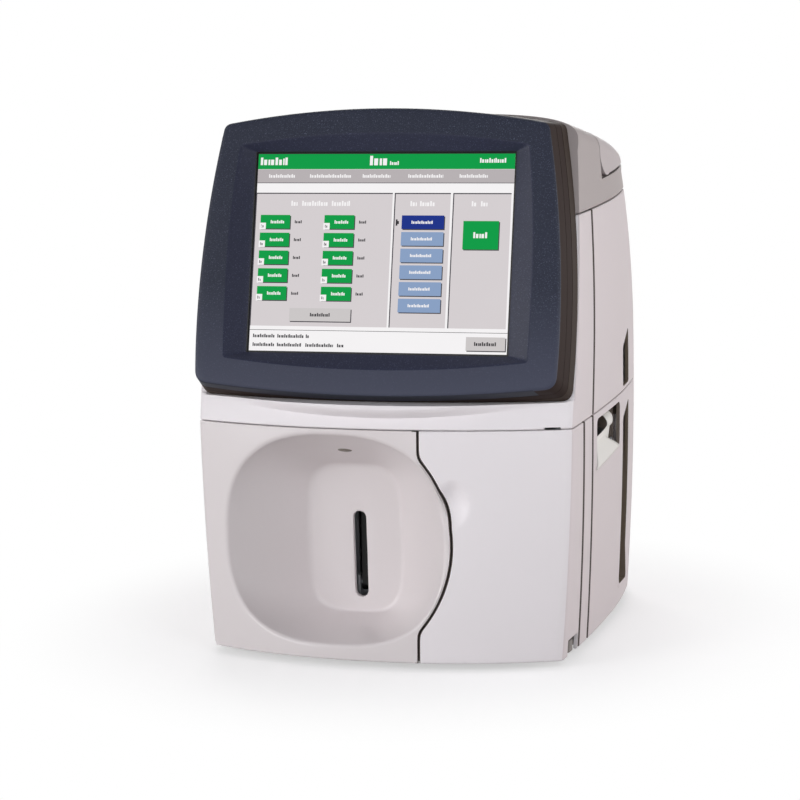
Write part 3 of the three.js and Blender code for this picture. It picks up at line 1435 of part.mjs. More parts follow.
add('chassis_frame', chassisFrame(), colors.steel, 0.35, 0.9);
add('cartridge_bay', cartridgeBay(), colors.grey, 0.6);
add('cartridge', cartridgePack(), colors.white, 0.4);
add('pump_motor', sideMotor(pump), colors.dark, 0.4, 0.5);
add('pump_rotor', pumpRotor(), colors.white, 0.4);
add('valve_motor', sideMotor(valve), colors.dark, 0.4, 0.5);
add('valve_spindle', valveSpindle(), colors.steel, 0.3, 0.9);
add('heater_block', heaterBlock(), colors.steel, 0.4, 0.8);

add('sampler_bracket', samplerBracket(), colors.steel, 0.4, 0.8);
add('sampler_pivot', samplerPivot(), colors.steel, 0.3, 0.9);
add('sampler_arm', samplerArm(), colors.dark, 0.4);
add('sampler_needle', samplerNeedle(), colors.steel, 0.2, 1);

add('cpu_board', cpuBoard(), colors.board, 0.5);
add('io_ports', ioPorts(), colors.steel, 0.3, 0.9);
add('power_supply', powerSupply(), colors.steel, 0.4, 0.8);
add('power_inlet', powerInlet(), colors.dark, 0.5);
add('switch_frame', rockerFrame(), colors.dark, 0.5);
add('power_switch', powerSwitch(), colors.rubber, 0.4);
add('fan_frame', fanFrame(), colors.dark, 0.5);
add('fan_rotor', fanRotor(), colors.dark, 0.5);

add('printer_frame', printerFrame(), colors.brown, 0.6);
add('platen_roller', printerAxle(roller, roller.radius, roller.shaft), colors.rubber, 0.8);
add('paper_roll', printerAxle(roll, roll.radius, roll.spindle), colors.white, 0.9);
add('paper_strip', paperPath(0), colors.white, 0.9);
add('tear_bar', tearBarSolid(), colors.steel, 0.3, 0.9);
add('print_head', printHeadSolid(), colors.dark, 0.5);

for (const [name, x, z] of screwPlaces) {
  add(`cover_screw_${name}`, coverScrew(x, z), colors.steel, 0.3, 0.9);
}

export default analyzer;
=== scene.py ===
"""Looks for the bench-top blood analyzer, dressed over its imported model.

Lengths below are millimetres in the model's own frame and become metres in `build`.
"""
import json
import math

import bmesh
import bpy
import numpy as np
from mathutils import Matrix, Vector


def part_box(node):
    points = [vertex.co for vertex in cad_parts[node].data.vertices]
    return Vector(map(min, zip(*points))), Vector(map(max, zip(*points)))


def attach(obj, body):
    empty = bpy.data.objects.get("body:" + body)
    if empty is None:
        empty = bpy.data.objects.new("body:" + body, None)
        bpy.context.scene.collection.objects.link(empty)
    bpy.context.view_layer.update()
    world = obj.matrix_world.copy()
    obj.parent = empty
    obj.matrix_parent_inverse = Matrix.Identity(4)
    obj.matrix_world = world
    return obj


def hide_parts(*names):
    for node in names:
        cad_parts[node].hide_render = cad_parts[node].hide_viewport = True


MM = 0.001

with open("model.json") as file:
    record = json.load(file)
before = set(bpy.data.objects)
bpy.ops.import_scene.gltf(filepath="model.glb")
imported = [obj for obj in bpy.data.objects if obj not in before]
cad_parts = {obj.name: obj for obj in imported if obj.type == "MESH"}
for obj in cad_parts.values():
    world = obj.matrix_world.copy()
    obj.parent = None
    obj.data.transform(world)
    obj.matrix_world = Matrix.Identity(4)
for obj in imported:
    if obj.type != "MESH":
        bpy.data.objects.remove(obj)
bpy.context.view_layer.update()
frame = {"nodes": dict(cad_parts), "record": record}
nodes = frame["nodes"]
scene = bpy.context.scene

# Camera, fitted to the photograph
CAMERA_PLACE = (635.4, -2237.3, 605.5)
CAMERA_RIGHT = (0.9608, 0.2758, -0.0289)
CAMERA_UP = (-0.0215, 0.1780, 0.9838)
CAMERA_FORWARD = (-0.2764, 0.9446, -0.1770)
SENSOR = 36.0
FOCAL_SHARE = 2866 / 800

# Body, the same sizes as in the model's source
BOTTOM_Z, MID_SEAM_Z, WIDEST_Z, UPPER_SEAM_Z = 6, 188.5, 237, 349.5
SIDE_HALF = (150.4, 158.5, 154.5)
FRONT_CORNER_HALF = (144, 153.5, 150.4)
REAR_CORNER_HALF = (142, 151.5, 144)
FRONT_MID_Y = (-155.5, -140.5)
FRONT_CORNER_Y = (-127.5, -117)
REAR_MID_Y = (155.5, 152.5)
REAR_CORNER_Y = (140, 138)
SIDE_MID_Y = 25
FRONT_ROUND, REAR_ROUND = 3.6, 22
BOW_POWER = 2.2
TILT = math.radians(15.8)
CROWN_FRONT_Y, CROWN_RISE, CROWN_MIDDLE_Z, CROWN_FALL = -51, 30, 427, 0.2
CROWN_POWER = 4
REAR_MIDDLE_U = 5

# Covers
WALL = 3
SEAM = 0.9
EDGE = 1.1
UPRIGHT_EDGE, UPRIGHT_GAP = 2.1, 2.4
SEAM_LIP = {"half": 5, "behind": 0.3, "thick": 1.2, "end": 2, "rows": 40}
DOOR_EDGE, DOOR_BLEND = 1.5, 1.5
# Columns beside an open seam that take the painted seam shade
SHADED_COLUMNS = 4
CORNER_U = 1.5
UPPER_SEAM_LEAN = 0.15
SPACING, DOOR_SPACING, CHIN_SPACING, CHIN_ROW_SPACING = 3.2, 2.4, 2.6, 0.8
PIN_SLOT = {"low": (131.5, -135, 180), "high": (144, -114.5, 190.2)}
SIDE_SEAM_Y, DOOR_REAR_Y, REAR_SEAM_Y = -59, -85, 112
GROOVE = {"low_y": 52, "high_y": 80, "floor_x": 145.5, "slope": 12.6, "round": 4, "near": 0.3}
GROOVE_SPANS = {"long": (24, 178), "short": (192, 238)}
WINDOW = {"low_y": -46, "high_y": 37, "low": 146, "high": 183, "round": 6}
OVERRUN = 6
FAR = 400

# Handle
HANDLE = {"pivot_y": 28, "pivot_z": 391, "low": 371, "arm": 18, "bar_y": 131, "eye": 21,
          "clearance": 2, "swing": 22.5, "grip": 30, "steps": 40}

# Rear
VENT = {"half": 60, "low": 190, "count": 12, "pitch": 11, "high": 4.5}
GRILLE = {"x": 62, "z": 120, "bore": 37.5, "rows": 9, "pitch": 8, "high": 4}
INLET = {"x": -98, "z": 44, "width": 28.9, "height": 22.9}
ROCKER = {"x": -58, "z": 44, "width": 19, "height": 27}
PORTS = {"low_x": -123, "high_x": 21, "low": 99, "high": 131}
SCREWS = {"x": 118, "low": 20, "high": 330, "head": 4.35, "deep": 1.8}

# Door and bowl
DOOR_X, DOOR_BULGE_X, DOOR_ARC_Z, DOOR_RADIUS = 34.6, 61, 98.5, 102
DIMPLE = {"x": 62, "z": 131, "half_x": 13, "half_z": 19, "depth": 6, "power": 1.15}
BOWL = {"x": -36.9, "z": 100.9, "half": 92, "up": 82.9, "floor_x": -35, "floor_z": 88,
        "floor_half": 39, "floor_up": 61, "floor_y": -84}
BOWL_UPPER_POWER, BOWL_LOWER_POWER, BOWL_FLOOR_POWER, BOWL_WALL_POWER = 2.45, 2.7, 3.9, 1.1
BOWL_RIM_ROUND, BOWL_SLOT_ROUND = 3.2, 0.9
BOWL_WALL_SHARES, BOWL_WALL_ROWS = (0.05, 0.95), 26
BOWL_RIM_SHARES = (0.12, 0.25, 0.38, 0.5, 0.62, 0.75, 0.88, 1)
BOWL_FLOOR_STARTS, BOWL_FLOOR_SHARES = 0.09, (0.3, 0.6, 1)
BOWL_EASE_ROWS = 10
BOWL_RAYS, CLOSEST_RAYS, HALVINGS = 220, 0.006, 44
SLOT = {"x": -31.5, "half": 5.5, "low": 39.5, "high": 110.5, "deep_share": 1.6}
LIGHT = {"x": -34, "y": -109, "long": 6.2, "short": 3.4, "low": -1.2, "high": 2.4,
         "sides": 36, "steps": 6, "rounded_share": 0.96}
HINGE = {"x": 138.5, "y": -106, "boss": 8.5, "lug": 8, "low": 21, "high": 168,
         "notch_low_y": -116, "notch_high_y": -90, "notch_x": 128, "notch_top": 19.5}
LATCH = {"z": 150, "half": 8, "thick": 2.5, "long": 16, "x": 68}
LIP = {"half": 128, "reach": 9.5, "low": 197.5, "rise": 9, "high": 8.6, "power": 1.5, "front_y": -100}

# Display, in its own plane: x across, v up, w out of the screen
DISPLAY_Y, DISPLAY_Z, DISPLAY_DEPTH, DISPLAY_FLARE = -115.1, 325.1, 37, 6
BEZEL = {"top_half": 131.6, "top_corner": 100.7, "top_mid": 113.1, "wide_half": 147, "wide_v": -60,
         "low_half": 145.6, "low_corner": -104.2, "low_mid": -113.1, "top_round": 5, "low_round": 9}
RECESS = {"top_half": 117, "top_corner": 84, "top_mid": 93.4, "wide_half": 123.9, "wide_v": -20,
          "low_half": 122.9, "low_corner": -84.4, "low_mid": -92.3, "top_round": 3, "low_round": 3}
SCREEN_HALF, SCREEN_UP, SCREEN_DEEP = 105.6, 79.2, 6.3
LIP_DEEP = 7.8
SCREEN_ROUND = 1.0
DISPLAY_GAP = 0.35
FRAME = {
    "side_depths": (14, 11, 8), "round": 2.4, "round_steps": 7, "face_shares": (0.3, 0.6, 0.85),
    "recess_round": 1.2, "bevel_margin": 0.6, "bevel_start_share": 0.06, "ease_shares": (0.25, 0.5, 0.75, 1),
    "bevel_shares": (0.3, 0.55, 0.8, 0.985),
    "well": ((0.2, SCREEN_DEEP + 0.35), (0, SCREEN_DEEP + 0.8), (0, LIP_DEEP), (6.3, LIP_DEEP), (6.3, 14)),
}
SHELL = {
    "outside": ((14.6, -0.6), (14.6, 0), (18, 0), (24.6, 0), (24.6, -0.5), (25.4, -0.5), (25.4, 0), (31, 0),
                (36, 0), (37, -1)),
    "opening": 30, "light_rows": (6, 7, 8, 9),
}
GLASS = {"margin": 5.9, "deep": 8.1, "thick": 2.1}

# Printer's paper and feet
PAPER_THICK = 0.3
PAPER = {
    "start": (151.2, 124), "bar": (149.8, 150), "curl_x": 147.6, "curl_z": 171, "curl": 7.6,
    "turns_degrees": (-55, 205), "turns": 26, "wide": (-33, 24), "tongue": (-1.5, 20.5), "narrow_rows": 5,
    "columns": 12, "waves": ((0.5, 7.3), (0.3, 3.1)),
}
PAPER_END = {
    "inner_y": (-26, -2), "outer_y": (-50, 33), "inner_x": 150.6, "inner_z": 162.5, "outer_z": (142, 146.6),
    "clear": 0.9, "count": 14, "spread_power": 0.8, "fall_power": 1.5, "waves": ((0.7, 5.3), (0.4, 11.9)),
}
FOOT_PROFILE = ((8.2, 0), (8.8, 0.25), (9.1, 0.9), (11.6, 5.9), (12, 6.2), (12, 6.7))
FOOT_SIDES = 40

# Picture on the screen, from its middle
PICTURE_MARGIN, LAYER, LINE, DROP = 0.9, 0.05, 0.9, 0.8
HEADER_LOW, MENU, RULES = 66.2, (55.5, 66), ((55, 55.5), (-61.9, -61.5))
TILE_SPANS = ((-100.4, -75.9), (-47.5, -22.9))
TILE_ROWS = {"top": 29.7, "pitch": 14.2, "height": 10.9, "count": 5}
KIND_SPAN, KIND_ROWS = (15.8, 50), {"top": 29.7, "pitch": 13.1, "height": 10.75, "count": 6}
GO_BUTTON = (65.6, 94.1, 3.2, 25.5)
BUTTONS = [(-72.6, -22.3, -54.5, -44.2), (71.9, 103.2, -75.6, -65)]
PANELS = [(-104.3, 7.5, -58.5, 46.5), (10, 54.5, -58.5, 46.5), (57.3, 103, -58.5, 46.5)]
ARROW = [(11, 12.4, 21.5, 26.5), (12.4, 13.6, 22.8, 25.2)]
BLOCK_WIDTHS = (0.46, 0.6, 0.36, 0.62, 0.5, 0.56, 0.3)
BLOCK_RISES = (0.5, 0.22, 0.22, 0.22, 0.5, 0.22, 0.36)
BLOCK_SHARE = 0.7
BRIGHT_WORDS = [
    ([(74, 86)], 14.4, 4.6), ([(-102.7, -78.8)], 72.5, 6), ([(-12.4, 2)], 73, 7.5), ([(4, 11)], 71, 3),
    ([(76.7, 97.8)], 73, 3.6),
    ([(-95.2, -73.8), (-61.2, -27.5), (-17.8, 5.6), (19.4, 47.9), (60.8, 84.5)], 60.8, 2.8),
    ([(-75.5, -69), (-66.5, -45), (-42, -25.7), (22.2, 27), (30, 41.9), (71.6, 76), (79, 85.9)], 39, 4),
]
DARK_WORDS = [
    ([(-55.5, -39.5)], -49.3, 2.8), ([(78.5, 97)], -70.3, 3),
    ([(-101.7, -84), (-81.5, -60), (-58, -55.6)], -66.4, 2.8),
    ([(-101.7, -84), (-81.5, -61), (-58, -35), (-32, -26.3)], -73.3, 2.8),
]
SCREEN_COLORS = {
    "white": (246, 244, 245), "green": (6, 156, 70), "panel": (214, 208, 210), "menu": (184, 178, 180),
    "blue": (28, 50, 136), "sky": (138, 161, 196), "ink": (52, 50, 54), "shade": (70, 68, 74),
    "button": (204, 200, 200),
}
SCREEN_GLOW = 0.95

# Mesh detail; the two smallest distances are in metres
JOINED_METRES, SMALLEST_METRES = 2e-6, 1e-6
SHARP_DEGREES, FRAME_SHARP_DEGREES = 35, 40
BEND_STEPS, OUTLINE_STEPS, SCAN_STEPS = 4, 5, 500
SIDE_ROWS, CROWN_ROWS, CROWN_LAST_SHARE, CROWN_ROW_POWER = 14, 26, 0.97, 1.5
EDGE_PLACES, CORNER_PLACES = 34, 7

# Looks
EDGE_SHINE, EDGE_SAMPLES = 0.0006, 4
GRAIN_DEPTH, GLOSS_DRIFT, COAT_ROUGHNESS = 0.0004, 0.05, 0.14
FLOOR_HALF, FLOOR_DROP = 6000, 0.2
FLOOR_COLOR, FLOOR_SHADE, FLOOR_GLOW = (0.50, 0.47, 0.46), (0.62, 0.61, 0.62), 0.5
FLOOR_FADE = (0.15, 0.36)
WORLD_COLOR, WORLD_STRENGTH = (1.0, 0.965, 0.95), 0.02
CLIP_METRES = 20
COOL, WARM, PLAIN = (0.985, 0.99, 1.0), (1.0, 0.975, 0.97), (1, 1, 1)
LAMP_TARGET = (0, 0, 0.2)
LAMPS = [
    ("key", (-1.7, -1.7, 0.6), 1.2, 27, COOL), ("left", (-2.2, -1.0, 0.4), 1.2, 8, COOL),
    ("front", (0.1, -2.4, 0.3), 1.2, 10, COOL), ("near", (0.5, -0.6, 0.45), 0.4, 1.9, (0.95, 0.97, 1.0)),
    ("right", (2.3, 0.4, 0.4), 1.2, 10, WARM), ("right_low", (2.2, 0.3, 0.15), 1.2, 13, WARM),
    ("right_rear", (1.8, 1.4, 0.15), 1.2, 14, WARM), ("top", (0.1, 0.3, 2.3), 1.2, 5, PLAIN),
    ("rear", (-0.8, 2.2, 1.0), 1.6, 34, PLAIN),
]


def lerp(a, b, share):
    return a + (b - a) * share


# Body surface

def barrel(z, half):
    bottom, widest, upper = half
    below = z < WIDEST_Z
    end = np.where(below, bottom, upper)
    span = np.where(below, WIDEST_Z - BOTTOM_Z, UPPER_SEAM_Z - WIDEST_Z)
    return widest - (widest - end) * ((z - WIDEST_Z) / span) ** 2


def front_line(z, line):
    below = lerp(line[0], line[1], (z - BOTTOM_Z) / (MID_SEAM_Z - BOTTOM_Z))
    return np.where(z > MID_SEAM_Z, line[1] + (z - MID_SEAM_Z) * math.tan(TILT), below)


def rear_line(z, line):
    return lerp(line[0], line[1], (z - BOTTOM_Z) / (MID_SEAM_Z - BOTTOM_Z))


def side_x(y, widest, corner, rear):
    """Bowed side between the front corner and the rear corner, each given as (x, y)."""
    end = np.where(y < SIDE_MID_Y, corner[0], rear[0])
    end_y = np.where(y < SIDE_MID_Y, corner[1], rear[1])
    return widest - (widest - end) * ((y - SIDE_MID_Y) / (end_y - SIDE_MID_Y)) ** 2


def bezier(a, b, c, t):
    return (1 - t) ** 2 * a + 2 * t * (1 - t) * b + t ** 2 * c


def body_point(u, z, inset=0):
    """Point on the body. From 0, |u| takes one each for half the bowed front, the corner, the side, the
    rear corner and half the rear, and past 5 it goes on round the other side."""
    u, z = np.broadcast_arrays(np.asarray(u, float), np.asarray(z, float))
    past = np.abs(u) > REAR_MIDDLE_U
    hand = np.where((u < 0) == past, 1.0, -1.0)
    w = np.where(past, 2 * REAR_MIDDLE_U - np.abs(u), np.abs(u))
    corner_x = barrel(z, FRONT_CORNER_HALF) - inset
    corner_y = front_line(z, FRONT_CORNER_Y) + inset
    front_y = front_line(z, FRONT_MID_Y) + inset
    rear_x = barrel(z, REAR_CORNER_HALF) - inset
    rear_y = rear_line(z, REAR_CORNER_Y) - inset
    rear_mid = rear_line(z, REAR_MID_Y) - inset
    fx = np.clip(w, 0, 1) * (corner_x - FRONT_ROUND)
    fy = front_y + (corner_y - front_y) * (fx / corner_x) ** BOW_POWER
    sy = lerp(corner_y + FRONT_ROUND, rear_y - REAR_ROUND, np.clip(w - 2, 0, 1))
    sx = side_x(sy, barrel(z, SIDE_HALF) - inset, (corner_x, corner_y), (rear_x, rear_y))
    rx = (1 - np.clip(w - 4, 0, 1)) * (rear_x - REAR_ROUND)
    ry = rear_mid - (rear_mid - rear_y) * (rx / rear_x) ** 2
    t = np.clip(w - 1, 0, 1)
    s = np.clip(w - 3, 0, 1)
    pick = [w <= 1, w <= 2, w <= 3, w <= 4]
    x = np.select(pick, [fx, bezier(fx, corner_x, sx, t), sx, bezier(sx, rear_x, rx, s)], rx)
    y = np.select(pick, [fy, bezier(fy, corner_y, sy, t), sy, bezier(sy, rear_y, ry, s)], ry)
    return np.stack([x * hand, y, z], -1)


def body_normal(u, z):
    step_u, step_z = 1e-3, 0.05
    across = body_point(u + step_u, z) - body_point(u - step_u, z)
    up = body_point(u, z + step_z) - body_point(u, z - step_z)
    normal = np.cross(across, up)
    return normal / np.linalg.norm(normal, axis=-1, keepdims=True)


def u_at_x(x, z):
    return x / (barrel(z, FRONT_CORNER_HALF) - FRONT_ROUND)


def u_at_y(y, z):
    low = front_line(z, FRONT_CORNER_Y) + FRONT_ROUND
    high = rear_line(z, REAR_CORNER_Y) - REAR_ROUND
    return 2 + (y - low) / (high - low)


# Mesh helpers

def new_object(name, points, faces):
    """An object from points in millimetres."""
    mesh = bpy.data.meshes.new(name)
    mesh.from_pydata((np.asarray(points, float) * MM).tolist(), [], [list(face) for face in faces])
    obj = bpy.data.objects.new(name, mesh)
    scene.collection.objects.link(obj)
    return obj


def build(name, body, points, faces, material, face_materials=None, sharp=SHARP_DEGREES):
    """A piece that rides on a body, smooth but for its sharp edges."""
    obj = new_object(name, points, faces)
    for item in material if isinstance(material, list) else [material]:
        obj.data.materials.append(item)
    if face_materials is not None:
        obj.data.polygons.foreach_set("material_index", face_materials)
    clean(obj.data, sharp)
    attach(obj, body)
    return obj


def clean(mesh, sharp=SHARP_DEGREES):
    """Joins doubled points, turns the faces outward and marks the sharp edges."""
    work = bmesh.new()
    work.from_mesh(mesh)
    bmesh.ops.remove_doubles(work, verts=work.verts, dist=JOINED_METRES)
    bmesh.ops.dissolve_degenerate(work, edges=work.edges, dist=SMALLEST_METRES)
    bmesh.ops.recalc_face_normals(work, faces=work.faces)
    limit = math.radians(sharp)
    for face in work.faces:
        face.smooth = True
    for edge in work.edges:
        edge.smooth = not (len(edge.link_faces) == 2 and edge.calc_face_angle(0) > limit)
    work.to_mesh(mesh)
    work.free()


def grid_faces(rows, columns, offset=0, wrap=False):
    faces = []
    for i in range(rows - 1):
        for j in range(columns if wrap else columns - 1):
            a = offset + i * columns + j
            b = offset + i * columns + (j + 1) % columns
            faces.append((a, b, b + columns, a + columns))
    return faces


def tube_faces(rows, sides):
    """Faces over a stack of rings, closed at both ends."""
    last = (rows - 1) * sides
    ends = [tuple(range(sides)), tuple(range(last + sides - 1, last - 1, -1))]
    return grid_faces(rows, sides, wrap=True) + ends


def bend_places(radius):
    """Distances from an edge, and depths below the surface, of a rounded edge."""
    angles = [math.pi / 2 * i / BEND_STEPS for i in range(BEND_STEPS + 1)]
    return [(radius * (1 - math.cos(a)), radius * (1 - math.sin(a))) for a in angles]


def span_places(length, spacing, low_radius, high_radius):
    """Places across a panel as (from low edge, share of the middle, from high edge, depth)."""
    count = max(2, round((length - low_radius - high_radius) / spacing))
    places = [(0.0, None, None, WALL)]
    places += [(near, None, None, depth) for near, depth in bend_places(low_radius)]
    places += [(None, i / count, None, 0.0) for i in range(1, count)]
    places += [(None, None, near, depth) for near, depth in reversed(bend_places(high_radius))]
    places.append((None, None, 0.0, WALL))
    return places


def place_at(place, length, low_radius, high_radius):
    low, share, high, _ = place
    if low is not None:
        return low
    if high is not None:
        return length - high
    return lerp(low_radius, length - high_radius, share)


def run_along(u, z):
    """Lengths along the body at one level, counted from the first place."""
    steps = np.linalg.norm(np.diff(body_point(u, z), axis=0), axis=1)
    return np.concatenate([[0], np.cumsum(steps)])


def cover(name, body, material, low_z, high_z, left_u, right_u, relief=None, spacing=SPACING,
          row_spacing=None, left_edge=EDGE, right_edge=EDGE):
    """A moulded cover with rounded edges: a grid over the body surface, and the same grid a wall deeper."""
    rows = span_places(high_z - low_z, row_spacing or spacing, EDGE, EDGE)
    scan = np.linspace(0, 1, SCAN_STEPS)
    middle = (low_z + high_z) / 2
    u_middle = lerp(left_u(middle), right_u(middle), scan)
    run_middle = run_along(u_middle, middle)
    columns = span_places(run_middle[-1], spacing, left_edge, right_edge)
    depths = np.array([column[3] for column in columns])

    def column_runs(length):
        return np.array([place_at(column, length, left_edge, right_edge) for column in columns])

    turns = [turn for turn in (-CORNER_U, CORNER_U) if u_middle[0] < turn < u_middle[-1]]
    corner_runs = np.interp(turns, u_middle, run_middle)
    knots = [int(np.argmin(np.abs(column_runs(run_middle[-1]) - run))) for run in corner_runs]
    stops = [BEND_STEPS + 1, *knots, len(columns) - BEND_STEPS - 2]
    between = slice(stops[0], stops[-1] + 1)
    outer, inner = [], []
    for row in rows:
        z = low_z + place_at(row, high_z - low_z, EDGE, EDGE)
        u_line = lerp(left_u(z), right_u(z), scan)
        run = run_along(u_line, z)
        along = column_runs(run[-1])
        goals = [along[stops[0]], *np.interp(turns, u_line, run), along[stops[-1]]]
        along[between] = np.interp(along[between], along[stops], goals)
        u = np.interp(along, run, u_line)
        surface, normal = body_point(u, z), body_normal(u, z)
        push = relief(surface) if relief else 0
        outer.append(surface - normal * np.maximum(depths, row[3])[:, None] + push)
        inner.append(surface - normal * WALL + push)
    faces = grid_faces(len(rows), len(columns))
    faces += [face[::-1] for face in grid_faces(len(rows), len(columns), len(rows) * len(columns))]
    # Faces beside an open seam take painted seam shade, and faces beyond the body's front corner take the
    # side covers' darker plastic as painted shade
    looks = cover_looks(len(faces), len(columns) - 1, left_edge, right_edge, zip(turns, knots))
    obj = build(name, body, np.concatenate(outer + inner), faces, [material, painted_seam_shade, cover_plastic], looks)
    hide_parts(name.removesuffix("_look"))
    return obj


def cover_looks(count, across, left_edge, right_edge, corners):
    """Which of a cover's three materials each face has: 1, the painted seam shade, beside an open seam, 2
    beyond a corner, where the side covers' darker plastic is painted shade on a front cover's wrap.
    """
    column = np.arange(count) % across
    dark = (column < SHADED_COLUMNS) & (left_edge > EDGE)
    dark |= (column >= across - SHADED_COLUMNS) & (right_edge > EDGE)
    beyond = np.zeros(count, bool)
    for turn, knot in corners:
        beyond |= column >= knot if turn > 0 else column < knot
    return np.where(dark, 1, np.where(beyond, 2, 0))


def box_mesh(low, high):
    points = [(x, y, z) for x in (low[0], high[0]) for y in (low[1], high[1]) for z in (low[2], high[2])]
    faces = [(0, 1, 3, 2), (4, 6, 7, 5), (0, 4, 5, 1), (2, 3, 7, 6), (0, 2, 6, 4), (1, 5, 7, 3)]
    return points, faces


def merged(parts):
    """Several (points, faces) as one."""
    points, faces = [], []
    for part_points, part_faces in parts:
        start = len(points)
        points += [tuple(point) for point in part_points]
        faces += [tuple(i + start for i in face) for face in part_faces]
    return points, faces


def rounded_outline(corners, radius):
    """A closed outline with its corners rounded off."""
    corners = np.asarray(corners, float)
    line = []
    for before, corner, after in zip(np.roll(corners, 1, 0), corners, np.roll(corners, -1, 0)):
        start = corner + (before - corner) / np.linalg.norm(before - corner) * radius
        end = corner + (after - corner) / np.linalg.norm(after - corner) * radius
        line += [bezier(start, corner, end, i / OUTLINE_STEPS) for i in range(OUTLINE_STEPS + 1)]
    return line


def rectangle(low_a, high_a, low_b, high_b):
    return [(low_a, low_b), (high_a, low_b), (high_a, high_b), (low_a, high_b)]


def circle(a, b, radius, steps=32):
    turn = 2 * math.pi / steps
    return [(a + radius * math.cos(i * turn), b + radius * math.sin(i * turn)) for i in range(steps)]


def prism(outline, axis, low, high):
    """An outline drawn out along one axis, from low to high."""
    outline = np.asarray(outline, float)
    ends = [np.insert(outline, axis, level, axis=1) for level in (low, high)]
    return np.concatenate(ends), tube_faces(len(ends), len(outline))


def loose(points, faces):
    """An object for a boolean, with its faces pointing out."""
    tool = new_object("tool", points, faces)
    work = bmesh.new()
    work.from_mesh(tool.data)
    bmesh.ops.recalc_face_normals(work, faces=work.faces)
    work.to_mesh(tool.data)
    work.free()
    return tool


def cut(obj, tool, operation="DIFFERENCE"):
    """Applies one boolean and throws the tool away."""
    modifier = obj.modifiers.new("cut", "BOOLEAN")
    modifier.operation = operation
    modifier.solver = "EXACT"
    modifier.object = tool
    bpy.context.view_layer.update()
    result = bpy.data.meshes.new_from_object(obj.evaluated_get(bpy.context.evaluated_depsgraph_get()))
    obj.modifiers.clear()
    obj.data = result
    bpy.data.objects.remove(tool)


def carve(obj, points, faces, operation="DIFFERENCE"):
    cut(obj, loose(points, faces), operation)
    clean(obj.data)


def paint(obj, material, inside):
    """Gives a material to the faces whose middles, in millimetres, pass a test."""
    mesh = obj.data
    mesh.materials.append(material)
    middles = np.empty(len(mesh.polygons) * 3)
    mesh.polygons.foreach_get("center", middles)
    chosen = inside(middles.reshape(-1, 3) / MM)
    picks = np.empty(len(mesh.polygons), int)
    mesh.polygons.foreach_get("material_index", picks)
    picks[chosen] = len(mesh.materials) - 1
    mesh.polygons.foreach_set("material_index", picks)


# Materials

def srgb(r, g, b):
    """Linear colour from the eight-bit values of a picture."""
    return tuple(((c / 255 + 0.055) / 1.055) ** 2.4 if c > 10 else c / 255 / 12.92 for c in (r, g, b))


def tinted(color, strength):
    return tuple(min(1, part * strength) for part in color)


def set_inputs(tree, node, inputs):
    """Gives each input a plain value, a colour or a link from another node."""
    for key, value in inputs.items():
        if isinstance(value, bpy.types.NodeSocket):
            tree.links.new(value, node.inputs[key])
        elif isinstance(value, tuple) and node.inputs[key].type == "RGBA":
            node.inputs[key].default_value = (*value, 1)
        else:
            node.inputs[key].default_value = value


def add_node(tree, kind, inputs, output=0, **settings):
    """Adds a shader node with its settings and inputs, and gives back one of its outputs."""
    node = tree.nodes.new(f"ShaderNode{kind}")
    for key, value in settings.items():
        setattr(node, key, value)
    set_inputs(tree, node, inputs)
    return node.outputs[output]


def own_place(tree):
    return add_node(tree, "TexCoord", {}, "Object")


def add_noise(tree, scale, detail=4):
    return add_node(tree, "TexNoise", {"Scale": scale, "Detail": detail, "Vector": own_place(tree)}, "Fac")


def add_mix(tree, share, low, high):
    return add_node(tree, "Mix", {"Factor": share, 6: low, 7: high}, 2, data_type="RGBA")


def tree_of(name):
    material = bpy.data.materials.new(name)
    material.use_nodes = True
    tree = material.node_tree
    return material, tree, tree.nodes["Principled BSDF"]


def lay_over(tree, shader, share, color):
    """Mixes a colour over what the base colour is so far."""
    base = shader.inputs["Base Color"].links[0].from_socket
    set_inputs(tree, shader, {"Base Color": add_mix(tree, share, base, color)})


def moulded(name, color, rough=0.42, tone=0.03, grain=900, grain_depth=0.03, cloud=9, coat=0.0, shine=0.5):
    """Moulded plastic: faint colour drift, fine grain in the surface and uneven gloss."""
    material, tree, shader = tree_of(name)
    drift = add_noise(tree, cloud)
    gloss = {"To Min": rough - GLOSS_DRIFT, "To Max": rough + GLOSS_DRIFT, "Value": drift}
    edges = add_node(tree, "Bevel", {"Radius": EDGE_SHINE}, samples=EDGE_SAMPLES)
    fine = add_noise(tree, grain, 2)
    bump = {"Strength": grain_depth, "Distance": GRAIN_DEPTH, "Normal": edges, "Height": fine}
    set_inputs(tree, shader, {
        "Base Color": add_mix(tree, drift, tinted(color, 1 - tone), tinted(color, 1 + tone)),
        "Roughness": add_node(tree, "MapRange", gloss),
        "Normal": add_node(tree, "Bump", bump),
        "Coat Weight": coat, "Coat Roughness": COAT_ROUGHNESS, "Specular IOR Level": shine,
    })
    return material


def speckled(name, color, fleck, rough):
    """Dark moulded plastic with the fine light specks of a sparked mould."""
    material = moulded(name, color, rough=rough, tone=0.10, grain=1400, grain_depth=0.12, cloud=14, shine=0.2)
    tree = material.node_tree
    dots = {"From Min": 0.62, "From Max": 0.72, "To Max": 0.5, "Value": add_noise(tree, 1500, 1)}
    lay_over(tree, tree.nodes["Principled BSDF"], add_node(tree, "MapRange", dots), fleck)
    return material


def painted_reflection_below(material, pale, from_z, to_z):
    """Makes a plastic paler towards its lower edge: a painted reflection, standing in for the light that the
    lower part of the face catches.
    """
    tree = material.node_tree
    height = add_node(tree, "SeparateXYZ", {"Vector": own_place(tree)}, "Z")
    fall = {"From Min": from_z * MM, "From Max": to_z * MM, "Value": height}
    lay_over(tree, tree.nodes["Principled BSDF"], add_node(tree, "MapRange", fall), pale)


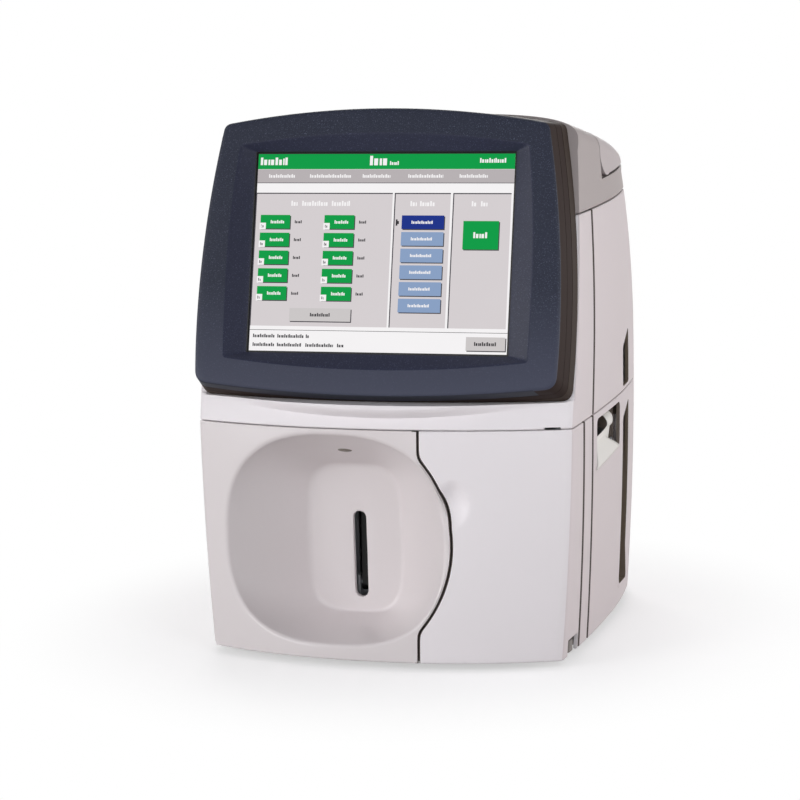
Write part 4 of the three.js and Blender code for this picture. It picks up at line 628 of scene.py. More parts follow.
def metal(name, color, rough=0.35, brush=(4, 400, 4)):
    """Brushed metal: streaks drawn out along one direction."""
    material, tree, shader = tree_of(name)
    drawn_out = add_node(tree, "Mapping", {"Scale": brush, "Vector": own_place(tree)})
    streaks = add_node(tree, "TexNoise", {"Scale": 6, "Vector": drawn_out}, "Fac")
    gloss = {"To Min": rough - 0.08, "To Max": rough + 0.12, "Value": streaks}
    set_inputs(tree, shader, {
        "Base Color": color, "Metallic": 1, "Roughness": add_node(tree, "MapRange", gloss),
    })
    return material


def lit(name, color):
    """A patch of the picture on the screen: it glows a little, under a soft gloss."""
    material, tree, shader = tree_of(name)
    set_inputs(tree, shader, {
        "Emission Color": add_mix(tree, add_noise(tree, 30), tinted(color, 0.97), color),
        "Emission Strength": SCREEN_GLOW, "Base Color": tinted(color, 0.05),
        "Specular IOR Level": 0.06, "Roughness": 0.35,
    })
    return material


front_plastic = moulded("front_plastic", srgb(236, 231, 234), rough=0.42, shine=0.3)
# The bowl cover's plastic is a little darker than the front's: painted shade over the bowl and its land
bowl_plastic_shaded = moulded("bowl_plastic_shaded", srgb(221, 214, 215), rough=0.42, coat=0.3, shine=0.3)
# The top cover's plastic is darker than the side covers': painted shade on the crowned top
top_plastic_shaded = moulded("top_plastic_shaded", srgb(170, 161, 160), rough=0.5, shine=0.2)
handle_plastic = moulded("handle_plastic", srgb(190, 181, 182), rough=0.5, shine=0.2)
cover_plastic = moulded("cover_plastic", srgb(216, 207, 209), rough=0.5, shine=0.2)
# Painted shade for the narrow open seams: the cover edges beside them and the strips behind them
painted_seam_shade = moulded("painted_seam_shade", srgb(92, 84, 80), rough=0.7, shine=0.1)
bezel_plastic = speckled("bezel_plastic", srgb(31, 35, 50), srgb(104, 110, 132), rough=0.48)
# Painted reflection: the frame's face is paler towards its lower edge
painted_reflection_below(bezel_plastic, srgb(66, 69, 86), 300, 205)
bezel_under = moulded("bezel_under", srgb(50, 52, 62), rough=0.6, shine=0.1)
# Duller speckle and no paler lower edge for the recess bevel round the screen: painted shade in the recess
bezel_recess_shaded = speckled("bezel_recess_shaded", srgb(30, 33, 52), srgb(84, 88, 116), rough=0.42)
groove_brown = moulded("groove_brown", srgb(112, 101, 88), rough=0.5, shine=0.3)
band_dark = moulded("band_dark", srgb(44, 33, 30), rough=0.6, shine=0.05)
band_light = moulded("band_light", srgb(62, 53, 48), rough=0.6, shine=0.05)
black_plastic = moulded("black_plastic", srgb(18, 18, 20), rough=0.4, shine=0.25)
steel = metal("steel", srgb(190, 192, 196))
grey_inside = moulded("grey_inside", srgb(118, 112, 108), rough=0.55)
brown_inside = moulded("brown_inside", srgb(122, 111, 103), rough=0.55, shine=0.3)
paper_white = moulded("paper_white", srgb(236, 234, 230), rough=0.8, grain=500, grain_depth=0.15)
rubber_black = moulded("rubber_black", srgb(34, 34, 34), rough=0.75, grain_depth=0.2)
board_green = speckled("board_green", srgb(30, 96, 58), srgb(160, 170, 110), rough=0.4)
white_pack = moulded("white_pack", srgb(236, 234, 232), rough=0.35)
lens_grey = moulded("lens_grey", srgb(120, 112, 104), rough=0.2)
slot_materials = {
    "front": front_plastic, "cover": cover_plastic, "bezel": bezel_plastic, "display_shell": band_dark,
    "screen_glass": black_plastic, "lcd_metal": steel, "circuit_board": board_green, "steel": steel,
    "dark_plastic": black_plastic, "inner_grey": grey_inside, "white_plastic": white_pack,
    "paper": paper_white,
    "roller_rubber": rubber_black, "foot_rubber": rubber_black, "printer_brown": brown_inside,
    "base_metal": grey_inside, "light_lens": lens_grey,
}
slots = {entry["node"]: entry["material_slot"] for entry in frame["record"]["subparts"]}
for node_name, node in nodes.items():
    node.data.materials.clear()
    node.data.materials.append(slot_materials[slots[node_name]])


# Covers

def door_edge_x(z, side):
    radius = DOOR_RADIUS + side * SEAM / 2
    arc = DOOR_BULGE_X - DOOR_RADIUS + np.sqrt(np.maximum(radius ** 2 - (z - DOOR_ARC_Z) ** 2, 0))
    straight = DOOR_X + side * SEAM / 2
    return DOOR_X + DOOR_BLEND * np.log(
        np.exp((arc - DOOR_X) / DOOR_BLEND) + np.exp((straight - DOOR_X) / DOOR_BLEND)
    )


def dimple_push(points):
    across = (points[:, 0] - DIMPLE["x"]) / DIMPLE["half_x"]
    up = (points[:, 2] - DIMPLE["z"]) / DIMPLE["half_z"]
    near = np.clip(1 - across ** 2 - up ** 2, 0, 1) * (points[:, 1] < 0)
    shift = np.zeros_like(points)
    shift[:, 1] = DIMPLE["depth"] * near ** DIMPLE["power"]
    return shift


def make_door():
    door = cover(
        "cartridge_door_look", "door", front_plastic, BOTTOM_Z, MID_SEAM_Z - SEAM / 2,
        lambda z: u_at_x(door_edge_x(z, 1), z), lambda z: u_at_y(DOOR_REAR_Y - UPRIGHT_GAP / 2, z),
        relief=dimple_push, spacing=DOOR_SPACING, left_edge=DOOR_EDGE, right_edge=UPRIGHT_EDGE,
    )
    corners = rectangle(HINGE["notch_low_y"], HINGE["notch_high_y"], -OVERRUN, HINGE["notch_top"])
    carve(door, *prism(rounded_outline(corners, EDGE), 0, HINGE["notch_x"], FAR))
    make_hinge_lugs()
    make_latch()


def make_hinge_lugs():
    """Lugs inside the door that turn on its pins."""
    x, y, boss = HINGE["x"], HINGE["y"], HINGE["boss"]
    round_end = [(x + boss * math.cos(t), y + boss * math.sin(t)) for t in np.linspace(0, math.pi, 17)]
    outline = [(x - boss, -FAR), (x + boss, -FAR)] + round_end
    lows = (HINGE["low"], HINGE["high"] - HINGE["lug"])
    lugs = [prism(outline, 2, low, low + HINGE["lug"]) for low in lows]
    obj = build("door_hinge_lugs", "door", *merged(lugs), front_plastic)
    carve(obj, *crown_solid(BOTTOM_Z, EDGE), "INTERSECT")


def make_latch():
    face_y = float(front_surface_y(LATCH["x"], LATCH["z"]))
    tip_y = face_y + WALL + LATCH["long"]
    corners = rectangle(face_y + WALL / 2, tip_y, LATCH["z"] - LATCH["half"], LATCH["z"] + LATCH["half"])
    tongue = prism(rounded_outline(corners, LATCH["thick"]), 0, LATCH["x"] - LATCH["thick"], LATCH["x"])
    obj = build("door_latch_tongue", "door", *tongue, front_plastic)


def display_axes(points):
    up = points[..., 2] - DISPLAY_Z
    out = points[..., 1] - DISPLAY_Y
    return up * math.cos(TILT) + out * math.sin(TILT), up * math.sin(TILT) - out * math.cos(TILT)


def upper_front_push(points):
    """Shapes the lip under the display and stops the cover at the display's back plane."""
    shift = np.zeros_like(points)
    share = np.clip(1 - np.abs(points[:, 0] / LIP["half"]) ** BOW_POWER, 0, 1)
    low = LIP["low"] + LIP["rise"] * (points[:, 0] / LIP["half"]) ** 2
    climb = np.clip((points[:, 2] - low) / LIP["high"], 0, 1)
    reach = -LIP["reach"] * share * (1 - (1 - climb) ** LIP["power"])
    shift[:, 1] = np.where(points[:, 1] < LIP["front_y"], reach, 0)
    moved = points + shift
    v, w = display_axes(moved)
    low_v = sagged(BEZEL, "low", points[:, 0]) - DISPLAY_FLARE
    behind = -DISPLAY_DEPTH - SEAM / 2
    cut = (w > behind) & (v > low_v - SEAM)
    plane_y = DISPLAY_Y + ((points[:, 2] - DISPLAY_Z) * math.sin(TILT) - behind) / math.cos(TILT)
    shift[:, 1] = np.where(cut, plane_y - points[:, 1], shift[:, 1])
    return shift


def side_seam_y(z):
    """The seam between front and side covers is upright below the mid seam and leans back above it."""
    return SIDE_SEAM_Y + UPPER_SEAM_LEAN * max(z - MID_SEAM_Z, 0)


def make_seam_lips():
    """Strips behind the two upper side seams, as the lips that overlap inside the covers, in the dark seam
    colour that is painted shade.
    """
    heights = np.linspace(MID_SEAM_Z + SEAM_LIP["end"], UPPER_SEAM_Z - SEAM_LIP["end"], SEAM_LIP["rows"])
    outer = WALL + SEAM_LIP["behind"]
    inner = outer + SEAM_LIP["thick"]
    half = SEAM_LIP["half"]
    ring = [(-half, outer), (half, outer), (half, inner), (-half, inner)]
    for name, side in (("right", 1), ("left", -1)):
        points = []
        for z in heights:
            for offset, depth in ring[::side]:
                u = side * u_at_y(side_seam_y(z) + offset, z)
                points.append(body_point(u, z) - body_normal(u, z) * depth)
        build(f"seam_lip_{name}", "housing", points, tube_faces(len(heights), len(ring)), painted_seam_shade)


def make_upper_front():
    edge_u = lambda z: u_at_y(side_seam_y(z) - UPRIGHT_GAP / 2, z)
    piece = cover(
        "upper_front_cover_look", "housing", front_plastic, MID_SEAM_Z + SEAM / 2, UPPER_SEAM_Z - SEAM / 2,
        lambda z: -edge_u(z), edge_u, relief=upper_front_push, spacing=CHIN_SPACING,
        row_spacing=CHIN_ROW_SPACING, left_edge=UPRIGHT_EDGE, right_edge=UPRIGHT_EDGE,
    )
    carve(piece, *box_mesh(PIN_SLOT["low"], PIN_SLOT["high"]))


def groove_outline(low_z, high_z, grow=0):
    low_y, high_y = GROOVE["low_y"] - grow, GROOVE["high_y"] + grow
    low, high = low_z - grow, high_z + grow
    corners = [(low_y, low), (high_y, low), (high_y, high), (low_y, high - GROOVE["slope"])]
    return rounded_outline(corners, GROOVE["round"])


def surface_x(y, z):
    return body_point(u_at_y(y, z), z)[..., 0]


def sunk_in(low_y, high_y, low_z, high_z):
    """A test for faces that lie below the side's surface between these edges."""
    def inside(middles):
        x, y, z = np.abs(middles[:, 0]), middles[:, 1], middles[:, 2]
        near = GROOVE["near"]
        within = (y > low_y - near) & (y < high_y + near) & (z > low_z - near) & (z < high_z + near)
        return within & (x < surface_x(y, z) - near) & (x > GROOVE["floor_x"] - near)
    return inside


def side_cover(name, hand, low_z, high_z, grooves, window=None):
    low_u = lambda z: u_at_y(side_seam_y(z) + UPRIGHT_GAP / 2, z)
    high_u = lambda z: u_at_y(REAR_SEAM_Y - SEAM / 2, z)
    left, right = (low_u, high_u) if hand > 0 else (lambda z: -high_u(z), lambda z: -low_u(z))
    edges = (UPRIGHT_EDGE, EDGE) if hand > 0 else (EDGE, UPRIGHT_EDGE)
    piece = cover(
        f"{name}_look", "housing", cover_plastic, low_z, high_z, left, right,
        left_edge=edges[0], right_edge=edges[1],
    )
    for groove in grooves:
        span = GROOVE_SPANS[groove]
        outside = [hand * GROOVE["floor_x"], hand * FAR]
        liner = [hand * (GROOVE["floor_x"] - WALL), hand * (GROOVE["floor_x"] + 2 * WALL)]
        carve(piece, *prism(groove_outline(*span, WALL), 0, *sorted(liner)), "UNION")
        carve(piece, *prism(groove_outline(*span), 0, *sorted(outside)))
        paint(piece, groove_brown, sunk_in(GROOVE["low_y"], GROOVE["high_y"], *span))
    if window:
        sides = window["low_y"], window["high_y"], window["low"], window["high"]
        outline = rounded_outline(rectangle(*sides), window["round"])
        carve(piece, *prism(outline, 0, GROOVE["floor_x"] - OVERRUN, FAR))
        paint(piece, brown_inside, sunk_in(*sides))


def make_side_covers():
    low_top, high_low = MID_SEAM_Z - SEAM / 2, MID_SEAM_Z + SEAM / 2
    upper_top = UPPER_SEAM_Z - SEAM / 2
    side_cover("printer_side_cover", 1, BOTTOM_Z, low_top, ["long"], WINDOW)
    side_cover("right_side_cover", 1, high_low, upper_top, ["short"])
    side_cover("left_side_cover", -1, BOTTOM_Z, upper_top, ["long", "short"])
    cover(
        "door_pillar_look", "housing", cover_plastic, BOTTOM_Z, low_top,
        lambda z: u_at_y(DOOR_REAR_Y + UPRIGHT_GAP / 2, z),
        lambda z: u_at_y(SIDE_SEAM_Y - UPRIGHT_GAP / 2, z),
        left_edge=UPRIGHT_EDGE, right_edge=UPRIGHT_EDGE,
    )


# Crowned top, handle and rear

def shoulder_z(y):
    return CROWN_MIDDLE_Z - CROWN_RISE - (y - CROWN_FRONT_Y) * CROWN_FALL


def level_ring(u, height_at, inset):
    rough = body_point(u, height_at(0), inset)
    ring = body_point(u, height_at(rough[:, 1]), inset)
    ring[:, 2] = height_at(ring[:, 1])
    return ring


def ring_places():
    """Places round the whole plan, closer together at the corners."""
    stretches = [(0, 1, 24), (1, 2, 6), (2, 3, 26), (3, 4, 10), (4, REAR_MIDDLE_U, 14)]
    half = np.concatenate([np.linspace(low, high, count, endpoint=False) for low, high, count in stretches])
    return np.concatenate([-half[:0:-1], half, [REAR_MIDDLE_U]])


def crown_solid(low_z, inset, edge=0):
    """The whole body above a level, with its crowned top, as one closed solid."""
    u = ring_places()
    bends = bend_places(edge) if edge else [(0, 0)]
    rings = [body_point(u, low_z + near, inset + depth) for near, depth in bends]
    for i in range(1, SIDE_ROWS + 1):
        rings.append(level_ring(u, lambda y: lerp(low_z + edge, shoulder_z(y), i / SIDE_ROWS), inset))
    for i in range(1, CROWN_ROWS + 1):
        angle = math.pi / 2 * CROWN_LAST_SHARE * (i / CROWN_ROWS) ** CROWN_ROW_POWER
        ring = level_ring(u, shoulder_z, inset)
        ring[:, 0] *= math.cos(angle) ** (2 / CROWN_POWER)
        ring[:, 2] += (CROWN_RISE - inset) * math.sin(angle) ** (2 / CROWN_POWER)
        rings.append(ring)
    return np.concatenate(rings), tube_faces(len(rings), len(u))


def display_side(extra):
    """Everything in front of the plane where the display's housing meets the body."""
    behind = -DISPLAY_DEPTH - DISPLAY_GAP - extra
    points, faces = box_mesh((-FAR, -FAR, behind), (FAR, FAR, FAR))
    return from_display(points), faces


def handle_well(grow):
    """The space that the folded handle lies in."""
    inner = float(barrel(HANDLE["low"], REAR_CORNER_HALF)) - HANDLE["arm"] - HANDLE["clearance"] - grow
    front = HANDLE["pivot_y"] - HANDLE["swing"] - grow
    back = HANDLE["bar_y"] - HANDLE["grip"] - grow
    outline = [
        (-FAR, front), (-inner, front), (-inner, back), (inner, back), (inner, front),
        (FAR, front), (FAR, FAR), (-FAR, FAR),
    ]
    return prism(outline, 2, HANDLE["low"] - HANDLE["clearance"] - grow, FAR + HANDLE["low"])


def make_top_cover():
    low = UPPER_SEAM_Z + SEAM / 2
    top = build("top_cover_look", "housing", *crown_solid(low, 0, EDGE), top_plastic_shaded)
    hollow = loose(*crown_solid(low - OVERRUN, WALL))
    cut(hollow, loose(*display_side(WALL)))
    cut(hollow, loose(*handle_well(WALL)))
    cut(top, loose(*display_side(0)))
    cut(top, hollow)
    cut(top, loose(*handle_well(0)))
    clean(top.data)
    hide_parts("top_cover")


def make_handle():
    y, z, eye, low = HANDLE["pivot_y"], HANDLE["pivot_z"], HANDLE["eye"], HANDLE["low"]
    start = math.asin((low - z) / eye)
    turns = np.linspace(start, -2 * math.pi, HANDLE["steps"])
    outline = [(y + eye * math.cos(t), z + eye * math.sin(t)) for t in turns]
    outline += [(y, FAR + z), (FAR, FAR + z), (FAR, low)]
    handle = build("carry_handle_look", "handle", *crown_solid(UPPER_SEAM_Z, 0), handle_plastic)
    cut(handle, loose(*prism(outline, 0, -FAR, FAR)), "INTERSECT")
    arm_x = float(barrel(low, REAR_CORNER_HALF)) - HANDLE["arm"]
    inside = rounded_outline(rectangle(-arm_x, arm_x, -FAR, HANDLE["bar_y"]), HANDLE["clearance"])
    cut(handle, loose(*prism(inside, 2, 0, 2 * FAR)))
    clean(handle.data)
    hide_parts("carry_handle")


def rear_openings():
    parts = []
    front, back = REAR_SEAM_Y + WALL, FAR
    for i in range(VENT["count"]):
        low = VENT["low"] + i * VENT["pitch"]
        slit = rectangle(-VENT["half"], VENT["half"], low, low + VENT["high"])
        parts.append(prism(rounded_outline(slit, VENT["high"] / 2), 1, front + REAR_ROUND, back))
    for i in range(GRILLE["rows"]):
        z = GRILLE["z"] + (i - (GRILLE["rows"] - 1) / 2) * GRILLE["pitch"]
        across = math.sqrt(GRILLE["bore"] ** 2 - (z - GRILLE["z"]) ** 2)
        half = GRILLE["high"] / 2
        slit = rectangle(GRILLE["x"] - across, GRILLE["x"] + across, z - half, z + half)
        parts.append(prism(rounded_outline(slit, half), 1, front + REAR_ROUND, back))
    for place in (INLET, ROCKER):
        half, up = place["width"] / 2, place["height"] / 2
        outline = rectangle(place["x"] - half, place["x"] + half, place["z"] - up, place["z"] + up)
        parts.append(prism(rounded_outline(outline, EDGE), 1, front, back))
    outline = rectangle(PORTS["low_x"], PORTS["high_x"], PORTS["low"], PORTS["high"])
    parts.append(prism(rounded_outline(outline, EDGE), 1, front, back))
    for x in (-SCREWS["x"], SCREWS["x"]):
        for z in (SCREWS["low"], SCREWS["high"]):
            parts.append(prism(circle(x, z, SCREWS["head"]), 1, rear_surface_y(x, z) - SCREWS["deep"], back))
    return merged(parts)


def rear_surface_y(x, z):
    corner, middle = rear_line(z, REAR_CORNER_Y), rear_line(z, REAR_MID_Y)
    return float(middle - (middle - corner) * (x / barrel(z, REAR_CORNER_HALF)) ** 2)


def make_rear_cover():
    edge_u = lambda z: u_at_y(REAR_SEAM_Y + SEAM / 2, z)
    rear = cover(
        "rear_cover_look", "housing", cover_plastic, BOTTOM_Z, UPPER_SEAM_Z - SEAM / 2,
        edge_u, lambda z: 2 * REAR_MIDDLE_U - edge_u(z),
    )
    carve(rear, *rear_openings())


def ragged(i, waves):
    return sum(size * math.sin(i * pace) for size, pace in waves)


def thicken(sheet):
    thick = sheet.modifiers.new("thickness", "SOLIDIFY")
    thick.thickness = PAPER_THICK * MM
    thick.offset = 0


def make_paper():
    """The printed strip: it rises behind the tear bar, is torn to a tongue and curls over in the window."""
    radius, columns = PAPER["curl"], PAPER["columns"]
    turns = np.linspace(*np.radians(PAPER["turns_degrees"]), PAPER["turns"])
    line = [PAPER["start"], PAPER["bar"]]
    line += [(PAPER["curl_x"] + radius * math.cos(t), PAPER["curl_z"] + radius * math.sin(t)) for t in turns]
    points = []
    for i, (x, z) in enumerate(line):
        narrow = min(1, max(0, (i - 1) / PAPER["narrow_rows"]))
        tear = ragged(i, PAPER["waves"])
        low = lerp(PAPER["wide"][0], PAPER["tongue"][0], narrow) + tear
        high = lerp(PAPER["wide"][1], PAPER["tongue"][1], narrow) - tear / 2
        points += [(x, lerp(low, high, j / (columns - 1)), z) for j in range(columns)]
    strip = build("paper_strip_look", "housing", points, grid_faces(len(line), columns), paper_white)
    thicken(strip)
    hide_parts("paper_strip")


def make_paper_end():
    """The torn end of the strip, which hangs out over the sill of the window."""
    end, count = PAPER_END, PAPER_END["count"]
    points = []
    for i in range(count):
        t = i / (count - 1)
        low = lerp(end["inner_y"][0], end["outer_y"][0], t ** end["spread_power"]) + ragged(i, end["waves"])
        high = lerp(end["inner_y"][1], end["outer_y"][1], t)
        for j in range(count):
            across = j / (count - 1)
            y = lerp(low, high, across)
            z = lerp(end["inner_z"], lerp(*end["outer_z"], across), t)
            outside = float(surface_x(y, z)) + end["clear"]
            x = lerp(end["inner_x"], outside, math.sin(math.pi / 2 * t) ** end["fall_power"])
            points.append((x, y, z))
    sheet = build("paper_end", "housing", points, grid_faces(count, count), paper_white)
    thicken(sheet)


def make_feet():
    """Rubber feet turned from one profile."""
    for name in ("front_left", "front_right", "rear_left", "rear_right"):
        low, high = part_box(f"foot_{name}")
        x, y = (low[0] + high[0]) / 2 / MM, (low[1] + high[1]) / 2 / MM
        points = [(a, b, z) for radius, z in FOOT_PROFILE for a, b in circle(x, y, radius, FOOT_SIDES)]
        faces = tube_faces(len(FOOT_PROFILE), FOOT_SIDES)
        foot = build(f"foot_{name}_look", "housing", points, faces, rubber_black)
        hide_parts(f"foot_{name}")


# Bowl cover

def front_surface_y(x, z):
    middle = front_line(z, FRONT_MID_Y)
    corner = front_line(z, FRONT_CORNER_Y)
    return middle + (corner - middle) * (np.abs(x) / barrel(z, FRONT_CORNER_HALF)) ** BOW_POWER


def oval_reach(angle, half, up, power):
    c, s = np.abs(np.cos(angle)), np.abs(np.sin(angle))
    return ((c / half) ** power + (s / up) ** power) ** (-1 / power)


def stadium_reach(angle, half, up):
    """Distance from the middle of an upright stadium to its edge."""
    c, s = abs(math.cos(angle)), abs(math.sin(angle))
    straight = up - half
    if c > 1e-9 and half / c * s <= straight:
        return half / c
    return straight * s + math.sqrt(max(half ** 2 - (straight * c) ** 2, 0))


class FlatMap:
    """Unrolls the lower front of the body: run along the plan from the middle, and back to u."""

    LEVELS, PLACES, FIRST_U, LAST_U = 60, 1500, -2.6, 1.2

    def __init__(self, low_z, high_z):
        self.levels = np.linspace(low_z, high_z, self.LEVELS)
        self.u = np.linspace(self.FIRST_U, self.LAST_U, self.PLACES)
        runs = [run_along(self.u, z) for z in self.levels]
        self.runs = np.array([run - np.interp(0, self.u, run) for run in runs])

    def row(self, z):
        place = np.clip((z - self.levels[0]) / (self.levels[1] - self.levels[0]), 0, len(self.levels) - 1.001)
        low = int(place)
        return lerp(self.runs[low], self.runs[low + 1], place - low)

    def run_at(self, u, z):
        return float(np.interp(u, self.u, self.row(z)))

    def u_at(self, run, z):
        return float(np.interp(run, self.row(z), self.u))


def bowl_border(flat, angle, centre):
    """Where a ray from the bowl's middle leaves the cover, in unrolled coordinates."""
    top, bottom = MID_SEAM_Z - SEAM / 2, BOTTOM_Z
    direction = np.array([math.cos(angle), math.sin(angle)])
    low, high = 0.0, FAR

    def inside(reach):
        run, z = centre + direction * reach
        if not bottom <= z <= top:
            return False
        if run > flat.run_at(u_at_x(door_edge_x(z, -1), z), z):
            return False
        return run > flat.run_at(-u_at_y(SIDE_SEAM_Y - SEAM / 2, z), z)

    for _ in range(HALVINGS):
        middle = (low + high) / 2
        if inside(middle):
            low = middle
        else:
            high = middle
    return low


def bowl_angles(flat, centre):
    top, bottom = MID_SEAM_Z - SEAM / 2, BOTTOM_Z
    corners = []
    for z in (bottom, top):
        for u in (float(u_at_x(door_edge_x(z, -1), z)), float(-u_at_y(SIDE_SEAM_Y - SEAM / 2, z))):
            offset = np.array([flat.run_at(u, z), z]) - centre
            corners.append(math.atan2(offset[1], offset[0]) % (2 * math.pi))
    angles = sorted(corners + list(np.arange(0, 2 * math.pi, 2 * math.pi / BOWL_RAYS)))
    kept = [angles[0]]
    for angle in angles[1:]:
        if angle - kept[-1] > CLOSEST_RAYS:
            kept.append(angle)
        elif any(abs(angle - corner) < 1e-9 for corner in corners):
            kept[-1] = angle
    return kept


def wall_point(angle, share):
    """Point of the bowl's wall: share 0 at the rim on the front surface, 1 at the floor's edge."""
    run = share ** BOWL_WALL_POWER
    rim_power = BOWL_UPPER_POWER if math.sin(angle) > 0 else BOWL_LOWER_POWER
    power = lerp(rim_power, BOWL_FLOOR_POWER, run)
    half, up = lerp(BOWL["half"], BOWL["floor_half"], run), lerp(BOWL["up"], BOWL["floor_up"], run)
    reach = oval_reach(angle, half, up, power)
    x = lerp(BOWL["x"], BOWL["floor_x"], run) + reach * math.cos(angle)
    z = lerp(BOWL["z"], BOWL["floor_z"], run) + reach * math.sin(angle)
    return np.array([x, lerp(float(front_surface_y(x, z)), BOWL["floor_y"], share), z])


def land_stops(u_at, first, last):
    """Distances from the border at which the land is sampled, closer together round the body's corner."""
    scan = np.linspace(first, last, 160)
    u = np.array([u_at(distance) for distance in scan])
    corner = scan[(u > -2) & (u < -1)]
    before, within, after, before_gap, within_gap = 5, 8, 9, 0.2, 0.6
    low, high = (corner[0], corner[-1]) if len(corner) > 1 else (first, first)
    low, high = max(low, first + before_gap), max(high, first + within_gap)
    stops = [np.linspace(first, low, before + 1)[1:], np.linspace(low, high, within + 1)[1:]]
    return np.concatenate(stops + [np.linspace(high, last, after + 1)[1:]])


def land_line(flat, centre, angle):
    """Points from the cover's border over its rounded edge and the land to where the rim's round starts."""
    border = bowl_border(flat, angle, centre)
    rim = wall_point(angle, 0)
    rim_flat = np.array([flat.run_at(u_at_x(rim[0], rim[2]), rim[2]), rim[2]])
    edge = centre + np.array([math.cos(angle), math.sin(angle)]) * border
    land = np.linalg.norm(edge - rim_flat)
    rim_share, least_flat = 0.6, 0.2
    rim_round = min(BOWL_RIM_ROUND, land * rim_share)
    edge_round = min(EDGE, land - rim_round - least_flat)

    def on_land(distance, depth=0):
        run, z = lerp(edge, rim_flat, distance / land)
        u = flat.u_at(run, z)
        return body_point(u, z) - body_normal(u, z) * depth

    u_at = lambda distance: flat.u_at(*lerp(edge, rim_flat, distance / land))
    line = [on_land(0, WALL)] + [on_land(near, depth) for near, depth in bend_places(edge_round)]
    return line + [on_land(distance) for distance in land_stops(u_at, edge_round, land - rim_round)]


def bowl_profile(flat, centre, angle):
    """Points from the cover's border over the land, the rim, the wall and the floor into the slot."""
    line = land_line(flat, centre, angle)
    start, corner, end = line[-1], wall_point(angle, 0), wall_point(angle, BOWL_WALL_SHARES[0])
    line += [bezier(start, corner, end, t) for t in BOWL_RIM_SHARES]
    shares = lerp(*BOWL_WALL_SHARES, np.linspace(0, 1, BOWL_WALL_ROWS))[1:]
    line += [wall_point(angle, share) for share in shares]
    away = np.array([math.cos(angle), 0, math.sin(angle)])
    hub = np.array([SLOT["x"], BOWL["floor_y"], (SLOT["low"] + SLOT["high"]) / 2])
    slot_edge = hub + away * stadium_reach(angle, SLOT["half"], (SLOT["high"] - SLOT["low"]) / 2)
    floor_edge = wall_point(angle, 1)
    inner = lerp(floor_edge, slot_edge, BOWL_FLOOR_STARTS)
    start = line[-1]
    line += [bezier(start, floor_edge, inner, (i + 1) / BOWL_EASE_ROWS) for i in range(BOWL_EASE_ROWS)]
    line += [lerp(inner, slot_edge + away * BOWL_SLOT_ROUND, share) for share in BOWL_FLOOR_SHARES]
    bends = reversed(bend_places(BOWL_SLOT_ROUND)[:-1])
    line += [slot_edge + away * near + np.array([0, depth, 0]) for near, depth in bends]
    return line + [slot_edge + np.array([0, WALL * SLOT["deep_share"], 0])]


# Faces of the bowl cover's wrap round the left front corner, which take painted shade
def left_wrap_shaded(places):
    x, y, z = places[:, 0], places[:, 1], places[:, 2]
    return (x < -barrel(z, FRONT_CORNER_HALF) + WALL) & (y > front_line(z, FRONT_CORNER_Y) + EDGE)


def make_bowl_cover():
    flat = FlatMap(BOTTOM_Z - 1, MID_SEAM_Z + 1)
    centre = np.array([flat.run_at(u_at_x(BOWL["x"], BOWL["z"]), BOWL["z"]), BOWL["z"]])
    profiles = [bowl_profile(flat, centre, angle) for angle in bowl_angles(flat, centre)]
    points = np.array(profiles).swapaxes(0, 1).reshape(-1, 3)
    points = points + dimple_push(points)
    faces = grid_faces(len(profiles[0]), len(profiles), wrap=True)
    # Columns beside the door's seam take the painted seam shade
    by_door = [abs(profile[0][0] - door_edge_x(profile[0][2], -1)) < WALL for profile in profiles]
    shaded = SHADED_COLUMNS * len(profiles)
    dark = [int(i < shaded and by_door[i % len(profiles)]) for i in range(len(faces))]
    obj = build("bowl_cover_look", "housing", points, faces, [bowl_plastic_shaded, painted_seam_shade], dark)
    # Painted shade: the wrap round the left corner takes the side covers' darker plastic
    paint(obj, cover_plastic, left_wrap_shaded)
    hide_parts("bowl_cover")


def make_bowl_light():
    """Low oval lens in the bowl's upper wall, square to the wall there."""
    rim = BOWL["z"] + BOWL["up"]
    fall = rim - BOWL["floor_z"] - BOWL["floor_up"]
    surface = float(front_surface_y(LIGHT["x"], rim))
    span = BOWL["floor_y"] - surface
    share = (LIGHT["y"] - surface) / span
    slope = BOWL_WALL_POWER * share ** (BOWL_WALL_POWER - 1) * fall / span
    wall_z = rim - fall * share ** BOWL_WALL_POWER
    tilt = Matrix.Rotation(-math.atan(slope), 3, "X")
    sides, steps = LIGHT["sides"], LIGHT["steps"]
    rings = []
    for i in range(steps + 1):
        angle = math.pi / 2 * i / steps
        scale, height = math.cos(angle * LIGHT["rounded_share"]), LIGHT["low"] * math.sin(angle)
        rings += [(a * LIGHT["long"], b * LIGHT["short"], height) for a, b in circle(0, 0, scale, sides)]
    top = [(a, b, LIGHT["high"]) for a, b, _ in rings[:sides]]
    placed = [tilt @ Vector(point) + Vector((LIGHT["x"], LIGHT["y"], wall_z)) for point in top + rings]
    lens = build("bowl_light_look", "housing", placed, tube_faces(steps + 2, sides), lens_grey)
    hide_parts("bowl_light")


# Display

def sagged(loop, edge, x):
    """Height of the loop's arched top or low edge."""
    middle = loop[f"{edge}_mid"]
    return middle - (middle - loop[f"{edge}_corner"]) * (x / loop[f"{edge}_half"]) ** 2


def side_of(loop, v):
    above = v > loop["wide_v"]
    end = np.where(above, loop["top_half"], loop["low_half"])
    end_v = np.where(above, loop["top_corner"], loop["low_corner"])
    share = (v - loop["wide_v"]) / (end_v - loop["wide_v"])
    return loop["wide_half"] - (loop["wide_half"] - end) * share ** 2


def grow(loop, amount):
    copy = dict(loop)
    for key in ("top_half", "wide_half", "low_half", "top_corner", "top_mid"):
        copy[key] += amount
    copy["low_corner"] -= amount
    copy["low_mid"] -= amount
    return copy


